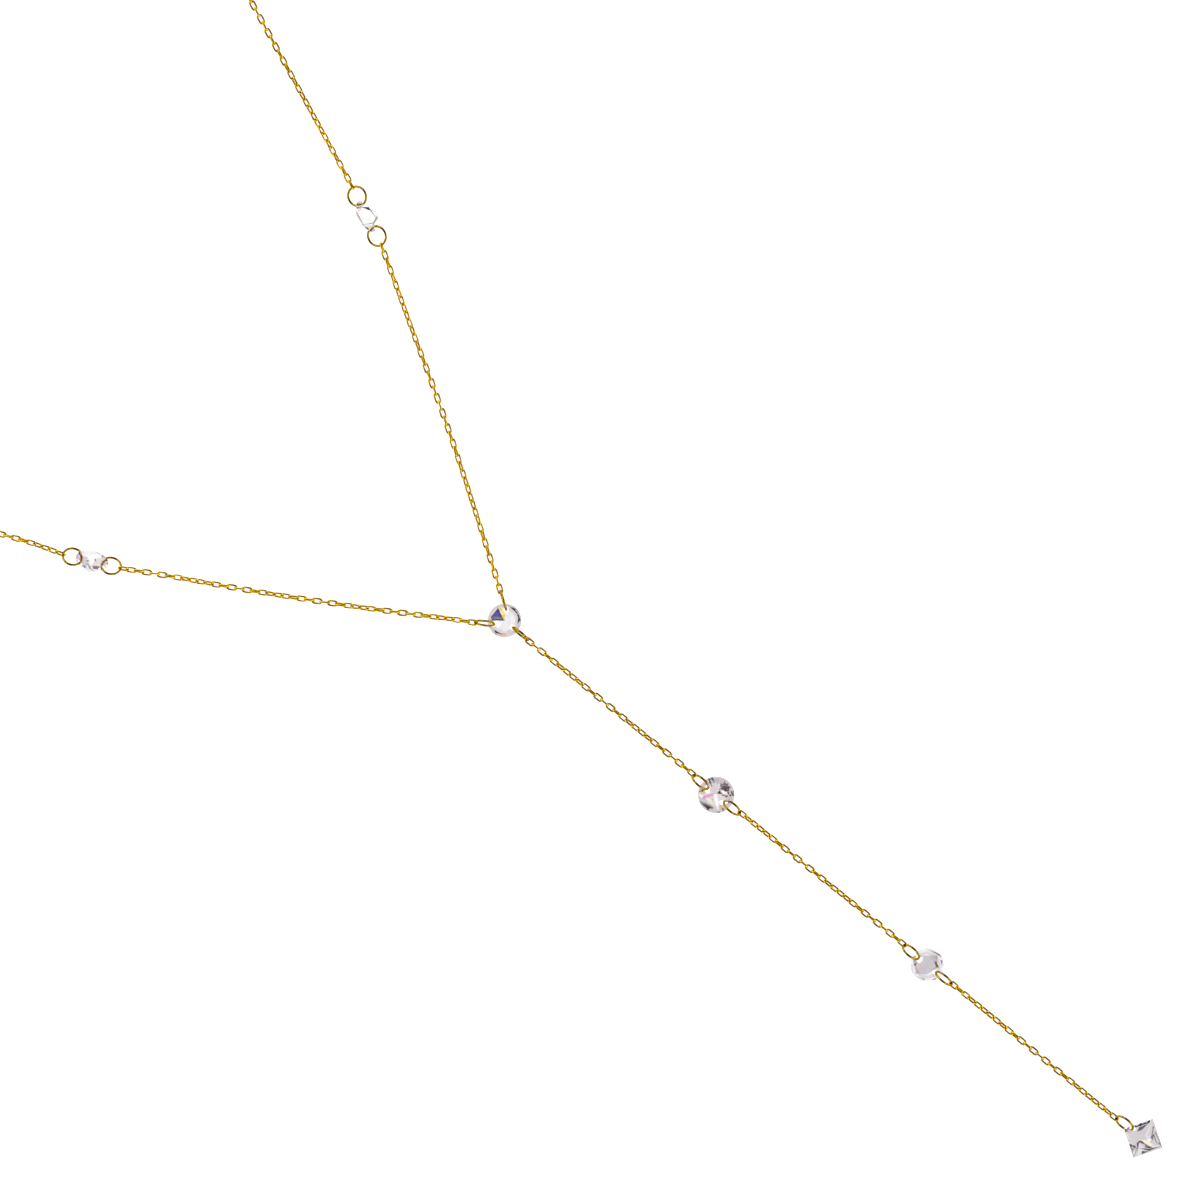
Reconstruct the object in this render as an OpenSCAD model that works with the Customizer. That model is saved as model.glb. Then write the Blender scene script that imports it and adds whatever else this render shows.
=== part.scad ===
// Y necklace, laid out on a flat surface: fine cable chain, drilled faceted stones hung on jump rings.
// Millimetres, +Z up. The origin is on the surface, under the middle of the stone where the strands meet.
// The drop runs along -Y, and the neck loop closes on the +Y side.

/* [Round stones] */
// Diameter of the round stone where the three strands meet
y_stone_d = 4.7; // [4.3:0.1:5.6]
// Diameter of the round stone on each neck arm
side_stone_d = 4.7; // [4.3:0.1:5.4]
// Diameter of the upper round stone of the drop
drop_stone_1_d = 5.1; // [4.7:0.1:6]
// Diameter of the lower round stone of the drop
drop_stone_2_d = 4.7; // [4.3:0.1:5.6]
// Table of a round stone, as a share of its diameter
round_table = 0.57; // [0.52:0.01:0.62]
// Slope of the main crown facets of a round stone
crown_slope = 34; // [30:1:36]
// Slope of the main pavilion facets of a round stone
pavilion_slope = 41; // [39:1:43]
// Height of the girdle band of every stone
girdle_h = 0.14; // [0.1:0.01:0.25]

/* [Square stone] */
// Side of the square stone
square_w = 4.3; // [4:0.1:5]
// Table of the square stone, as a share of its side
square_table = 0.7; // [0.64:0.01:0.76]
// Height of the square stone's crown
square_crown_h = 0.5; // [0.35:0.05:0.6]
// Height of the square stone's pavilion
square_pavilion_h = 2.5; // [2.2:0.1:2.8]
// Turn of the square stone about its own axis, from a corner in line with the drop
square_turn = 12; // [0:1:20]
// Lift of the square stone's ring side, where the ring holds it off the surface
square_tilt = 7.5; // [6:0.5:9]

/* [Drilled holes] */
// Diameter of the hole that a jump ring passes through
hole_d = 0.74; // [0.7:0.02:0.8]
// Distance from the girdle to the hole's middle on the Y stone
y_hole_inset = 0.85; // [0.75:0.05:1]
// Distance from the girdle to the hole's middle on the left neck stone
left_hole_inset = 1; // [0.75:0.05:1.1]
// Distance from the girdle to the hole's middle on the right neck stone
right_hole_inset = 0.65; // [0.65:0.05:1.1]
// Distance from the girdle to the hole's middle on the upper drop stone
drop_1_hole_inset = 1.1; // [0.9:0.05:1.2]
// Distance from the girdle to the hole's middle on the lower drop stone
drop_2_hole_inset = 0.8; // [0.75:0.05:1]
// Distance from the square stone's corner to its hole's middle
square_hole_inset = 1.12; // [1.05:0.05:1.3]
// Slant of the holes in the round stones that lie on their table
hole_slant = 16; // [13:1:19]

/* [Jump rings] */
// Outside diameter of a jump ring
ring_od = 3.05; // [2.9:0.05:3.2]
// Wire diameter of a jump ring
ring_wire = 0.28; // [0.22:0.02:0.28]

/* [Chain] */
// Width across a chain link
chain_w = 0.94; // [0.88:0.02:1.1]
// Wire diameter of a chain link
chain_wire = 0.15; // [0.12:0.01:0.16]
// Nominal step from one link to the next
link_pitch = 1.1; // [1.08:0.01:1.14]
// Free space between a link and what it hooks round
link_gap = 0.17; // [0.16:0.01:0.18]

/* [Places along the strands] */
// Sideways offset of the drop's upper stone from the line of the drop
drop_1_aside = 0.3; // [-1:0.1:1]
// Sideways offset of the drop's lower stone from the line of the drop
drop_2_aside = 0.2; // [-1:0.1:1]
// From the Y stone to the upper stone of the drop
drop_1_at = 38.1; // [34:1:46]
// From the Y stone to the lower stone of the drop
drop_2_at = 75.8; // [70:1:84]
// From the Y stone to the square stone
square_at = 114.2; // [108:1:124]
// Left neck stone: distance to the side of the Y stone
left_stone_out = 29.7; // [28.7:0.1:30.7]
// Left neck stone: distance up the neck from the Y stone
left_stone_up = 49.7; // [48.7:0.1:50.7]
// Roll of the left neck stone and its rings about the chain, from lying on the table
left_roll = 55; // [50:1:75]
// Right neck stone: distance to the side of the Y stone
right_stone_out = 31.6; // [30.6:0.1:32.6]
// Right neck stone: distance up the neck from the Y stone
right_stone_up = 50.2; // [49.2:0.1:51.2]
// Roll of the right neck stone and its rings about the chain, from lying on the table
right_roll = 62; // [50:1:75]
// Distance from the Y stone to the clasp at the back of the neck
clasp_at = 177.4; // [176.5:0.5:178.5]

/* [Clasp] */
// Outside diameter of the plain closed clasp
clasp_od = 5.5; // [5:0.5:7]
// Wire diameter of the clasp
clasp_wire = 0.9; // [0.8:0.05:1]
// Outside diameter of the clasp's eye
eye_od = 2.1; // [2:0.1:2.3]
// Wire diameter of the clasp's eye
eye_wire = 0.5; // [0.4:0.05:0.5]

/* [Hidden] */
$fn = 48;

ring_r = (ring_od - ring_wire) / 2;
chain_z = chain_w / 2;
ring_clearance = 0.1;
hole_len = 6;

// Compass headings of the neck through its two stones: 0 is +X, 90 is up the neck
left_side = 115.5;
right_side = 65.5;

// Facets of a round stone: eight mains, and girdle corners twice as many
mains = 8;
main_step = 360 / mains;
corners = 2 * mains;
corner_step = 360 / corners;
// Reach of the crown's star points and of the pavilion's lower corners, as shares of the stone's radius
star_reach = 0.76;
lower_reach = 0.62;
// The square stone's pavilion: share of its side's half that the first chevron corner reaches, and its height share
chevron_reach = 0.6;
chevron_rise = 0.52;
// The same for the corner ridge
ridge_reach = 0.42;
ridge_rise = 0.66;

// How far each jump ring leans from upright: columns are the ring and its lean, positive to the heading's right
y_lean_left = 13;
y_lean_right = 2;
y_lean_drop = -8;
drop_1_lean_top = -23;
drop_1_lean_bottom = 24;
drop_2_lean_top = -25;
drop_2_lean_bottom = 17;
square_lean = 27;

// How far down a standing ring the chain pulls, as an angle round the ring
pull_angle = 20;

// Turn of a drop chain about itself from end to end, besides the leans of its two rings
chain_twist = 180;

// Routes of the neck chains between their rings, chosen by hand: x, y and the height above the surface
front_left_route = [
    [-4.4, 5.7, 0.6], [-7, 9.9, 0.47], [-11, 16.4, 0.47], [-14.8, 22.8, 0.47],
    [-18.4, 29, 0.47], [-21.6, 34.7, 0.7], [-24.5, 40, 1.4]
];
front_right_route = [
    [4.6, 5.7, 0.6], [7.3, 9.8, 0.47], [11.5, 16.2, 0.47], [15.6, 22.6, 0.47],
    [19.5, 29, 0.47], [22.8, 34.6, 0.7], [26, 39.9, 1.4]
];
back_left_route = [
    [-33, 57.8, 1.6], [-35.4, 63.4, 0.75], [-38.7, 70.5, 0.47], [-44.2, 83.5, 0.47], [-49, 96.5, 0.47],
    [-52.8, 110, 0.47], [-54.6, 124.5, 0.47], [-52.6, 139.5, 0.47], [-45.9, 154, 0.47],
    [-35, 166, 0.47], [-21.5, 173.9, 0.47], [-10, 177, 0.6]
];
back_right_route = [
    [35.1, 58.3, 1.6], [37.4, 63.9, 0.75], [40.3, 71, 0.47], [45.4, 83.5, 0.47], [50, 96.5, 0.47],
    [53.6, 110, 0.47], [55.2, 124.5, 0.47], [53, 139.5, 0.47], [46.1, 154, 0.47],
    [35, 166, 0.47], [21.5, 173.9, 0.47], [10, 177, 0.6]
];
// Tube rings in each span of a neck route
route_steps = 2;
tube_sides = 8;
// Length of chain that rises from the surface to a standing ring
rise_len = 4;

link_bends = 6;
wire_sides = 5;

// Directions and places

function unit(v) = v / norm(v);

function polar(r, a) = [r * cos(a), r * sin(a), 0];

// A standing ring touches the surface with its wire
function ring_z(lean) = ring_r * cos(lean) + ring_wire / 2;

// Compass heading from one place to another
function aim(a, b) = atan2(b.y - a.y, b.x - a.x);

// A ring is its middle, its heading and its lean. This one stands, its wire through a hole at the place p
function standing(p, heading, lean) = [p + polar(ring_r, heading) + [0, 0, ring_z(lean)], heading, lean];

// Point on the ring's wire where the chain pulls
function pull_point(ring, angle) =
    ring[0] + cos(angle) * polar(ring_r, ring[1])
    - sin(angle) * ring_r * (cos(ring[2]) * [0, 0, 1] - sin(ring[2]) * polar(1, ring[1] + 90));

// Smooth curve through a list of points, kept on or above the surface

function beyond(p, i) =
    i < 0 ? 2 * p[0] - p[1] : i >= len(p) ? 2 * p[len(p) - 1] - p[len(p) - 2] : p[i];

function between(a, b, c, d, t) =
    0.5 * (2 * b + (c - a) * t + (2 * a - 5 * b + 4 * c - d) * t * t + (3 * b - a - 3 * c + d) * t * t * t);

function above(p) = [p.x, p.y, max(p.z, chain_z)];

function curve(p, n) = [
    for (i = [0 : len(p) - 2], j = [0 : n - 1])
        above(between(beyond(p, i - 1), p[i], p[i + 1], beyond(p, i + 2), j / n)),
    p[len(p) - 1]
];

// Length of a path up to its point i
function run_to(path, i) = i <= 0 ? 0 : norm(path[i] - path[i - 1]) + run_to(path, i - 1);

// Place and direction at the distance s along a path
function along(path, s, i = 0) =
    let (step = norm(path[i + 1] - path[i]))
    s <= step || i >= len(path) - 2
        ? [path[i] + s * unit(path[i + 1] - path[i]), unit(path[i + 1] - path[i])]
        : along(path, s - step, i + 1);

// Stones, each table down on z = 0

function ring_of(count, r, turn, z) = [for (k = [0 : count - 1]) polar(r, k * 360 / count + turn) + [0, 0, z]];

function crown_rise(d) = d / 2 * (1 - round_table) * tan(crown_slope);

function pavilion_rise(d) = d / 2 * tan(pavilion_slope);

// Height of the middle of a round stone's thickness, at the circle of its holes
function hole_middle(d, inset) =
    let (
        low = crown_rise(d) * max(0, 1 - inset / (d / 2 * (1 - round_table))),
        high = crown_rise(d) + girdle_h + inset * tan(pavilion_slope)
    )
    (low + high) / 2;

module round_cut(d) {
    r = d / 2;
    table_r = r * round_table;
    low = crown_rise(d);
    high = low + girdle_h;
    half = cos(main_step / 2);
    star_z = low - low * (r - star_reach * r * half) / (r - table_r);
    lower_z = high + pavilion_rise(d) * (1 - lower_reach * half);
    points = concat(
        ring_of(mains, table_r, 0, 0),
        ring_of(mains, star_reach * r, main_step / 2, star_z),
        ring_of(corners, r, 0, low),
        ring_of(corners, r, 0, high),
        ring_of(mains, lower_reach * r, main_step / 2, lower_z),
        [[0, 0, high + pavilion_rise(d)]]
    );
    star = mains;
    girdle_low = 2 * mains;
    girdle_high = girdle_low + corners;
    lower = girdle_high + corners;
    culet = lower + mains;
    faces = concat(
        [[for (k = [0 : mains - 1]) k]],
        [for (k = [0 : mains - 1]) let (n = (k + 1) % mains, p = (k + mains - 1) % mains) each [
            [k, star + p, girdle_low + 2 * k, star + k],
            [k, star + k, n],
            [star + k, girdle_low + 2 * k, girdle_low + 2 * k + 1],
            [star + k, girdle_low + 2 * k + 1, girdle_low + 2 * n],
            [lower + k, girdle_high + 2 * k + 1, girdle_high + 2 * k],
            [lower + k, girdle_high + 2 * n, girdle_high + 2 * k + 1],
            [culet, lower + k, girdle_high + 2 * k, lower + p]
        ]],
        [for (j = [0 : corners - 1]) let (n = (j + 1) % corners)
            [girdle_low + j, girdle_high + j, girdle_high + n, girdle_low + n]]
    );
    polyhedron(points = points, faces = faces);
}

module square_cut(w) {
    r = w / sqrt(2);
    low = square_crown_h;
    high = low + girdle_h;
    points = concat(
        ring_of(4, r * square_table, 0, 0),
        ring_of(4, r, 0, low),
        ring_of(4, r, 0, high),
        ring_of(4, w / 2 * chevron_reach, 45, high + square_pavilion_h * chevron_rise),
        ring_of(4, r * ridge_reach, 0, high + square_pavilion_h * ridge_rise),
        [[0, 0, high + square_pavilion_h]]
    );
    faces = concat(
        [[0, 1, 2, 3]],
        [for (k = [0 : 3]) let (n = (k + 1) % 4) each [
            [k, 4 + k, 4 + n, n],
            [4 + k, 8 + k, 8 + n, 4 + n],
            [8 + k, 12 + k, 8 + n],
            [8 + k, 16 + k, 12 + k],
            [8 + n, 12 + k, 16 + n],
            [16 + k, 20, 12 + k],
            [16 + n, 12 + k, 20]
        ]]
    );
    polyhedron(points = points, faces = faces);
}

// Jump rings and the holes that they run through

module jump_ring(ring) {
    color("gold")
        translate(ring[0])
            rotate([0, 0, ring[1]])
                rotate([90 + ring[2], 0, 0])
                    rotate_extrude()
                        translate([ring_r, 0])
                            circle(d = ring_wire);
}

// The hole is straight, so it follows the middle of the ring's bow
module ring_hole(ring, slant, depth) {
    bow = ring_r - sqrt(pow(ring_r, 2) - pow(depth / 2, 2));
    translate(ring[0])
        rotate([0, 0, ring[1]])
            rotate([ring[2], 0, 0])
                rotate([0, -slant, 0])
                    translate([bow / 2 - ring_r, 0, 0])
                        cylinder(d = hole_d, h = hole_len, center = true);
}

// Thickness of a round stone at the circle of its holes
function hole_depth(d, inset) =
    2 * (crown_rise(d) + girdle_h + inset * tan(pavilion_slope) - hole_middle(d, inset));

// Where each stone's holes and rings are

y_place = [0, 0, 0];
drop_1_place = [-drop_1_aside, -drop_1_at, 0];
drop_2_place = [-drop_2_aside, -drop_2_at, 0];
square_place = [0, -square_at, 0];

// The three holes of the Y stone are a third of a turn apart
y_down = aim(y_place, drop_1_place);
y_hole_r = y_stone_d / 2 - y_hole_inset;
y_hole_left = polar(y_hole_r, y_down - 120);
y_hole_right = polar(y_hole_r, y_down + 120);
y_left = standing(y_hole_left, aim(y_hole_left, front_left_route[0]), y_lean_left);
y_right = standing(y_hole_right, aim(y_hole_right, front_right_route[0]), y_lean_right);
y_drop = standing(polar(y_hole_r, y_down), y_down, y_lean_drop);

// Each ring of the drop reaches from its stone towards the next stone
function towards(place, next, hole_r, lean) =
    standing(place + polar(hole_r, aim(place, next)), aim(place, next), lean);

drop_1_hole_r = drop_stone_1_d / 2 - drop_1_hole_inset;
drop_2_hole_r = drop_stone_2_d / 2 - drop_2_hole_inset;
square_hole_r = square_w / sqrt(2) - square_hole_inset;
drop_1_top = towards(drop_1_place, y_place, drop_1_hole_r, drop_1_lean_top);
drop_1_bottom = towards(drop_1_place, drop_2_place, drop_1_hole_r, drop_1_lean_bottom);
drop_2_top = towards(drop_2_place, drop_1_place, drop_2_hole_r, drop_2_lean_top);
drop_2_bottom = towards(drop_2_place, square_place, drop_2_hole_r, drop_2_lean_bottom);
square_top = towards(square_place, drop_2_place, square_hole_r, square_lean);

// A neck stone is rolled up onto the edge of its girdle, and its rings are rolled as much
function rolled_z(inset, roll) =
    side_stone_d / 2 * sin(roll)
    + (hole_middle(side_stone_d, inset) - crown_rise(side_stone_d)) * cos(roll);

function side_reach(inset) = side_stone_d / 2 - inset + ring_r;

left_stone = [-left_stone_out, left_stone_up, rolled_z(left_hole_inset, left_roll)];
right_stone = [right_stone_out, right_stone_up, rolled_z(right_hole_inset, right_roll)];
left_back = [left_stone + polar(side_reach(left_hole_inset), left_side), left_side, -left_roll];
left_front = [left_stone - polar(side_reach(left_hole_inset), left_side), left_side + 180, left_roll];
right_back = [right_stone + polar(side_reach(right_hole_inset), right_side), right_side, right_roll];
right_front = [right_stone - polar(side_reach(right_hole_inset), right_side), right_side + 180, -right_roll];

module y_stone() {
    depth = hole_depth(y_stone_d, y_hole_inset);
    color("white")
        difference() {
            round_cut(y_stone_d);
            for (ring = [y_left, y_right, y_drop]) ring_hole(ring, hole_slant, depth);
        }
}

module drop_stone(place, d, inset, top, bottom) {
    color("white")
        difference() {
            translate(place)
                round_cut(d);
            for (ring = [top, bottom]) ring_hole(ring, hole_slant, hole_depth(d, inset));
        }
}

module drop_stone_1() {
    drop_stone(drop_1_place, drop_stone_1_d, drop_1_hole_inset, drop_1_top, drop_1_bottom);
}

module drop_stone_2() {
    drop_stone(drop_2_place, drop_stone_2_d, drop_2_hole_inset, drop_2_top, drop_2_bottom);
}

// The table of a neck stone is towards the surface and the inside of the neck loop
module side_stone(place, inset, back, front) {
    color("white")
        difference() {
            translate(place)
                rotate([0, 0, back[1]])
                    rotate([back[2], 0, 0])
                        translate([0, 0, -hole_middle(side_stone_d, inset)])
                            round_cut(side_stone_d);
            for (ring = [back, front]) ring_hole(ring, 0, hole_depth(side_stone_d, inset));
        }
}

module side_stone_left() {
    side_stone(left_stone, left_hole_inset, left_back, left_front);
}

module side_stone_right() {
    side_stone(right_stone, right_hole_inset, right_back, right_front);
}

// The square stone tips about the table corner that is furthest from its ring
module square_stone() {
    table_corner = square_w / sqrt(2) * square_table * cos(square_turn);
    color("white")
        difference() {
            translate(square_place + [0, 0, table_corner * sin(square_tilt)])
                rotate([0, 0, square_top[1]])
                    rotate([0, -square_tilt, 0])
                        rotate([0, 0, square_turn])
                            square_cut(square_w);
            ring_hole(square_top, square_tilt, square_w / 4);
        }
}

module y_ring_left() {
    jump_ring(y_left);
}

module y_ring_right() {
    jump_ring(y_right);
}

module y_ring_drop() {
    jump_ring(y_drop);
}

module side_left_ring_front() {
    jump_ring(left_front);
}

module side_left_ring_back() {
    jump_ring(left_back);
}

module side_right_ring_front() {
    jump_ring(right_front);
}

module side_right_ring_back() {
    jump_ring(right_back);
}

module drop_1_ring_top() {
    jump_ring(drop_1_top);
}

module drop_1_ring_bottom() {
    jump_ring(drop_1_bottom);
}

module drop_2_ring_top() {
    jump_ring(drop_2_top);
}

module drop_2_ring_bottom() {
    jump_ring(drop_2_bottom);
}

module square_ring() {
    jump_ring(square_top);
}

// Chain of interlocking links

// Centre line of a link, with the outward direction at each of its points
function link_line(inner, wire) = [
    for (end = [1, -1], k = [0 : link_bends - 1])
        let (a = 360 * (k / (link_bends - 1) / 2 - end / 4), r = (chain_w - wire) / 2)
        [[end * (inner - chain_w + 2 * wire) / 2, 0, 0] + polar(r, a), polar(1, a)]
];

module link(inner, wire) {
    line = link_line(inner, wire);
    points = [
        for (p = line, j = [0 : wire_sides - 1])
            let (a = j * 360 / wire_sides)
            p[0] + wire / 2 * (cos(a) * p[1] + sin(a) * [0, 0, 1])
    ];
    count = len(line);
    faces = [
        for (i = [0 : count - 1], j = [0 : wire_sides - 1])
            let (
                here = i * wire_sides,
                next = (i + 1) % count * wire_sides,
                turn = (j + 1) % wire_sides
            )
            [here + j, here + turn, next + turn, next + j]
    ];
    polyhedron(points = points, faces = faces);
}

// Links hooked one in the next along a path between two ring wires; the end links lie square to their rings,
// so their number is odd
module chain(path, first_roll, last_roll) {
    run = run_to(path, len(path) - 1) + ring_wire + link_gap;
    count = 2 * floor(run / link_pitch / 2) + 1;
    pitch = run / count;
    inner = pitch + link_gap;
    start = inner / 2 - ring_wire / 2 - link_gap;
    turn = 90 + (chain_twist + last_roll - first_roll) / (count - 1);
    color("gold")
        for (i = [0 : count - 1]) {
            place = along(path, start + i * pitch);
            way = place[1];
            translate(place[0])
                rotate([first_roll + i * turn, -asin(way.z), atan2(way.y, way.x)])
                    link(inner, chain_wire);
        }
}

// Path of a drop chain: down from one standing ring to the surface, along it, and up to the next ring
function at_height(p, z) = [p.x, p.y, z];

function drop_path(upper, lower) =
    let (
        a = pull_point(upper, pull_angle),
        b = pull_point(lower, pull_angle),
        rise = rise_len * unit(at_height(b - a, 0))
    )
    curve([
        a,
        at_height(a + rise / 2, (a.z + chain_z) / 2),
        at_height(a + rise, chain_z),
        at_height((a + b) / 2, chain_z),
        at_height(b - rise, chain_z),
        at_height(b - rise / 2, (b.z + chain_z) / 2),
        b
    ], 4);

module drop_chain(upper, lower) {
    chain(drop_path(upper, lower), upper[2], -lower[2]);
}

module drop_chain_1() {
    drop_chain(y_drop, drop_1_top);
}

module drop_chain_2() {
    drop_chain(drop_1_bottom, drop_2_top);
}

module drop_chain_3() {
    drop_chain(drop_2_bottom, square_top);
}

// Neck chains, a plain strand of the chain's outer size along each route

module strand(path) {
    radius = chain_w / 2;
    last = len(path) - 1;
    points = [
        for (i = [0 : last])
            let (
                way = unit(path[min(i + 1, last)] - path[max(i - 1, 0)]),
                side = unit(cross(way, [0, 0, 1])),
                rise = cross(side, way)
            )
            for (j = [0 : tube_sides - 1])
                let (a = j * 360 / tube_sides)
                path[i] + radius * (cos(a) * side + sin(a) * rise)
    ];
    faces = concat(
        [[for (j = [0 : tube_sides - 1]) tube_sides - 1 - j]],
        [[for (j = [0 : tube_sides - 1]) last * tube_sides + j]],
        [for (i = [0 : last - 1], j = [0 : tube_sides - 1])
            let (turn = (j + 1) % tube_sides)
            [i * tube_sides + j, i * tube_sides + turn, (i + 1) * tube_sides + turn, (i + 1) * tube_sides + j]]
    );
    color("gold")
        polyhedron(points = points, faces = faces);
}

// The point just clear of a ring's wire, on the way to the next route point
function clear_of(wire_point, next) =
    wire_point + (ring_wire / 2 + ring_clearance) * unit(next - wire_point);

function neck_path(a, route, b) =
    curve(concat([clear_of(a, route[0])], route, [clear_of(b, route[len(route) - 1])]), route_steps);

module front_chain_left() {
    strand(neck_path(pull_point(y_left, pull_angle), front_left_route, pull_point(left_front, 0)));
}

module front_chain_right() {
    strand(neck_path(pull_point(y_right, pull_angle), front_right_route, pull_point(right_front, 0)));
}

module back_chain_left() {
    strand(neck_path(pull_point(left_back, 0), back_left_route, pull_point(clasp_left, pull_angle)));
}

module back_chain_right() {
    strand(neck_path(pull_point(right_back, 0), back_right_route, pull_point(clasp_right, pull_angle)));
}

// Clasp: a plain closed ring with an eye, carried by the two standing jump rings

clasp_r = (clasp_od - clasp_wire) / 2;
eye_r = (eye_od - eye_wire) / 2;
clasp_z = clasp_wire / 2 + ring_wire + ring_clearance;
// From the ring's middle to the wire that it holds: the eye's, and the clasp's own
eye_hold = 0.5;
clasp_hold = 0.2;
// Puts the middle of the whole fastening on the Y axis
clasp_shift = [(2 * eye_r + eye_hold - clasp_hold) / 2, 0, 0];
clasp_left = [[-clasp_r - 2 * eye_r - eye_hold, clasp_at, ring_z(0)] + clasp_shift, 180, 0];
clasp_right = [[clasp_r + clasp_hold, clasp_at, ring_z(0)] + clasp_shift, 0, 0];

module clasp() {
    color("gold")
        translate([0, clasp_at, clasp_z] + clasp_shift) {
            rotate_extrude()
                translate([clasp_r, 0])
                    circle(d = clasp_wire);
            translate([-clasp_r - eye_r, 0, 0])
                rotate_extrude()
                    translate([eye_r, 0])
                        circle(d = eye_wire);
        }
}

module clasp_ring_left() {
    jump_ring(clasp_left);
}

module clasp_ring_right() {
    jump_ring(clasp_right);
}

y_stone();
side_stone_left();
side_stone_right();
drop_stone_1();
drop_stone_2();
square_stone();
y_ring_left();
y_ring_right();
y_ring_drop();
side_left_ring_front();
side_left_ring_back();
side_right_ring_front();
side_right_ring_back();
drop_1_ring_top();
drop_1_ring_bottom();
drop_2_ring_top();
drop_2_ring_bottom();
square_ring();
front_chain_left();
front_chain_right();
back_chain_left();
back_chain_right();
drop_chain_1();
drop_chain_2();
drop_chain_3();
clasp();
clasp_ring_left();
clasp_ring_right();
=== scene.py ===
# %% [markdown]
# # A Y necklace of fine cable chain and clear cut stones
#
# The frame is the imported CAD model: it fixes every place and size. This notebook dresses it. The plain
# strands become true chain, the stones get all their facets, and metal and glass get their finish. Shapes
# are worked out in millimetres, as a jeweller would, and turned into Blender's metres at the end.

# %% Frame
import math

import bmesh
import bpy
from mathutils import Matrix, Vector, geometry


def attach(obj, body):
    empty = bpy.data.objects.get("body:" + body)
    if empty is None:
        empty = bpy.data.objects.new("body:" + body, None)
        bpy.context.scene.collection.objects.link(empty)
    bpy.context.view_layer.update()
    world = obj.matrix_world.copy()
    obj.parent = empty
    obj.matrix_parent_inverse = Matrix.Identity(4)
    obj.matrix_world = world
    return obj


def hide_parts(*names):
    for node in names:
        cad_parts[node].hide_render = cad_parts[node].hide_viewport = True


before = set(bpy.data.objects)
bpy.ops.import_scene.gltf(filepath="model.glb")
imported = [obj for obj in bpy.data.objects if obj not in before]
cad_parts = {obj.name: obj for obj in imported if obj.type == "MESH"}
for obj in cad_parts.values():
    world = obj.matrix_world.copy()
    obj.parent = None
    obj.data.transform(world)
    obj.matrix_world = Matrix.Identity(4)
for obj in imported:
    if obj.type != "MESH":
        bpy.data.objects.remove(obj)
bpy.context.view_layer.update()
print("CAD nodes:", len(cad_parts))

# %% [markdown]
# ## Measures
#
# These are the sizes of part.scad, in millimetres: jump rings of 3 mm, and a chain just under 1 mm wide. The
# links' wire is drawn thicker than in the solids and the links touch, because nothing here has to stay clear
# of its neighbour.

# %% Measures
MM = 0.001
RING_WIRE = 0.28
RING_R = (3.05 - RING_WIRE) / 2
CHAIN_W = 0.94
CHAIN_WIRE = 0.28
CHAIN_Z = CHAIN_W / 2
LINK_PITCH = 1.1
HOLE_D = 0.74
GIRDLE = 0.14
CLEARANCE = 0.1
print("radius of a jump ring:", round(RING_R, 3), "mm")

# %% [markdown]
# ## Places and turns
#
# Every piece is put where it belongs by the same three helpers: a step of some length along a compass
# heading, a turn about an axis, and the heading from one place to another.

# %% Places and turns
def polar(r, degrees):
    return Vector((r * math.cos(math.radians(degrees)), r * math.sin(math.radians(degrees)), 0))


def turned(degrees, axis):
    return Matrix.Rotation(math.radians(degrees), 4, axis)


def aim(a, b):
    return math.degrees(math.atan2(b[1] - a[1], b[0] - a[0]))


print("heading of a step to the left:", aim((0, 0), (-1, 0)))

# %% [markdown]
# ## Where the stones and routes are
#
# Five round stones of about 5 mm and a square one are placed as in part.scad. The routes of the neck chains
# are the points of the CAD strands: straight arms to the two neck stones, then the plain way
# round the back of the neck.

# %% Stones and routes
Y_D, SIDE_D, DROP_1_D, DROP_2_D = 4.7, 4.7, 5.1, 4.7
Y_INSET, LEFT_INSET, RIGHT_INSET, DROP_1_INSET, DROP_2_INSET = 0.85, 1.0, 0.65, 1.1, 0.8
SQUARE_W, SQUARE_INSET = 4.3, 1.12
Y_PLACE, DROP_1_PLACE = Vector((0, 0, 0)), Vector((-0.3, -38.1, 0))
DROP_2_PLACE, SQUARE_PLACE = Vector((-0.2, -75.8, 0)), Vector((0, -114.2, 0))
ROUTES = {
    "front_chain_left": [
        (-4.4, 5.7, 0.6), (-7, 9.9, 0.47), (-11, 16.4, 0.47), (-14.8, 22.8, 0.47),
        (-18.4, 29, 0.47), (-21.6, 34.7, 0.7), (-24.5, 40, 1.4)],
    "front_chain_right": [
        (4.6, 5.7, 0.6), (7.3, 9.8, 0.47), (11.5, 16.2, 0.47), (15.6, 22.6, 0.47),
        (19.5, 29, 0.47), (22.8, 34.6, 0.7), (26, 39.9, 1.4)],
    "back_chain_left": [
        (-33, 57.8, 1.6), (-35.4, 63.4, 0.75), (-38.7, 70.5, 0.47), (-44.2, 83.5, 0.47),
        (-49, 96.5, 0.47), (-52.8, 110, 0.47), (-54.6, 124.5, 0.47), (-52.6, 139.5, 0.47),
        (-45.9, 154, 0.47), (-35, 166, 0.47), (-21.5, 173.9, 0.47), (-10, 177, 0.6)],
    "back_chain_right": [
        (35.1, 58.3, 1.6), (37.4, 63.9, 0.75), (40.3, 71, 0.47), (45.4, 83.5, 0.47),
        (50, 96.5, 0.47), (53.6, 110, 0.47), (55.2, 124.5, 0.47), (53, 139.5, 0.47),
        (46.1, 154, 0.47), (35, 166, 0.47), (21.5, 173.9, 0.47), (10, 177, 0.6)],
}
print("the drop is", round((SQUARE_PLACE - Y_PLACE).length, 1), "mm long")

# %% [markdown]
# ## Proportions of a round stone
#
# A brilliant's table, crown and pavilion follow fixed proportions, so its heights come from its diameter
# alone. A hole goes through the thin rim, and its middle lies half way through the stone there.

# %% Proportions of a round stone
ROUND_TABLE, CROWN_SLOPE, PAVILION_SLOPE = 0.57, 34, 41


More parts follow.
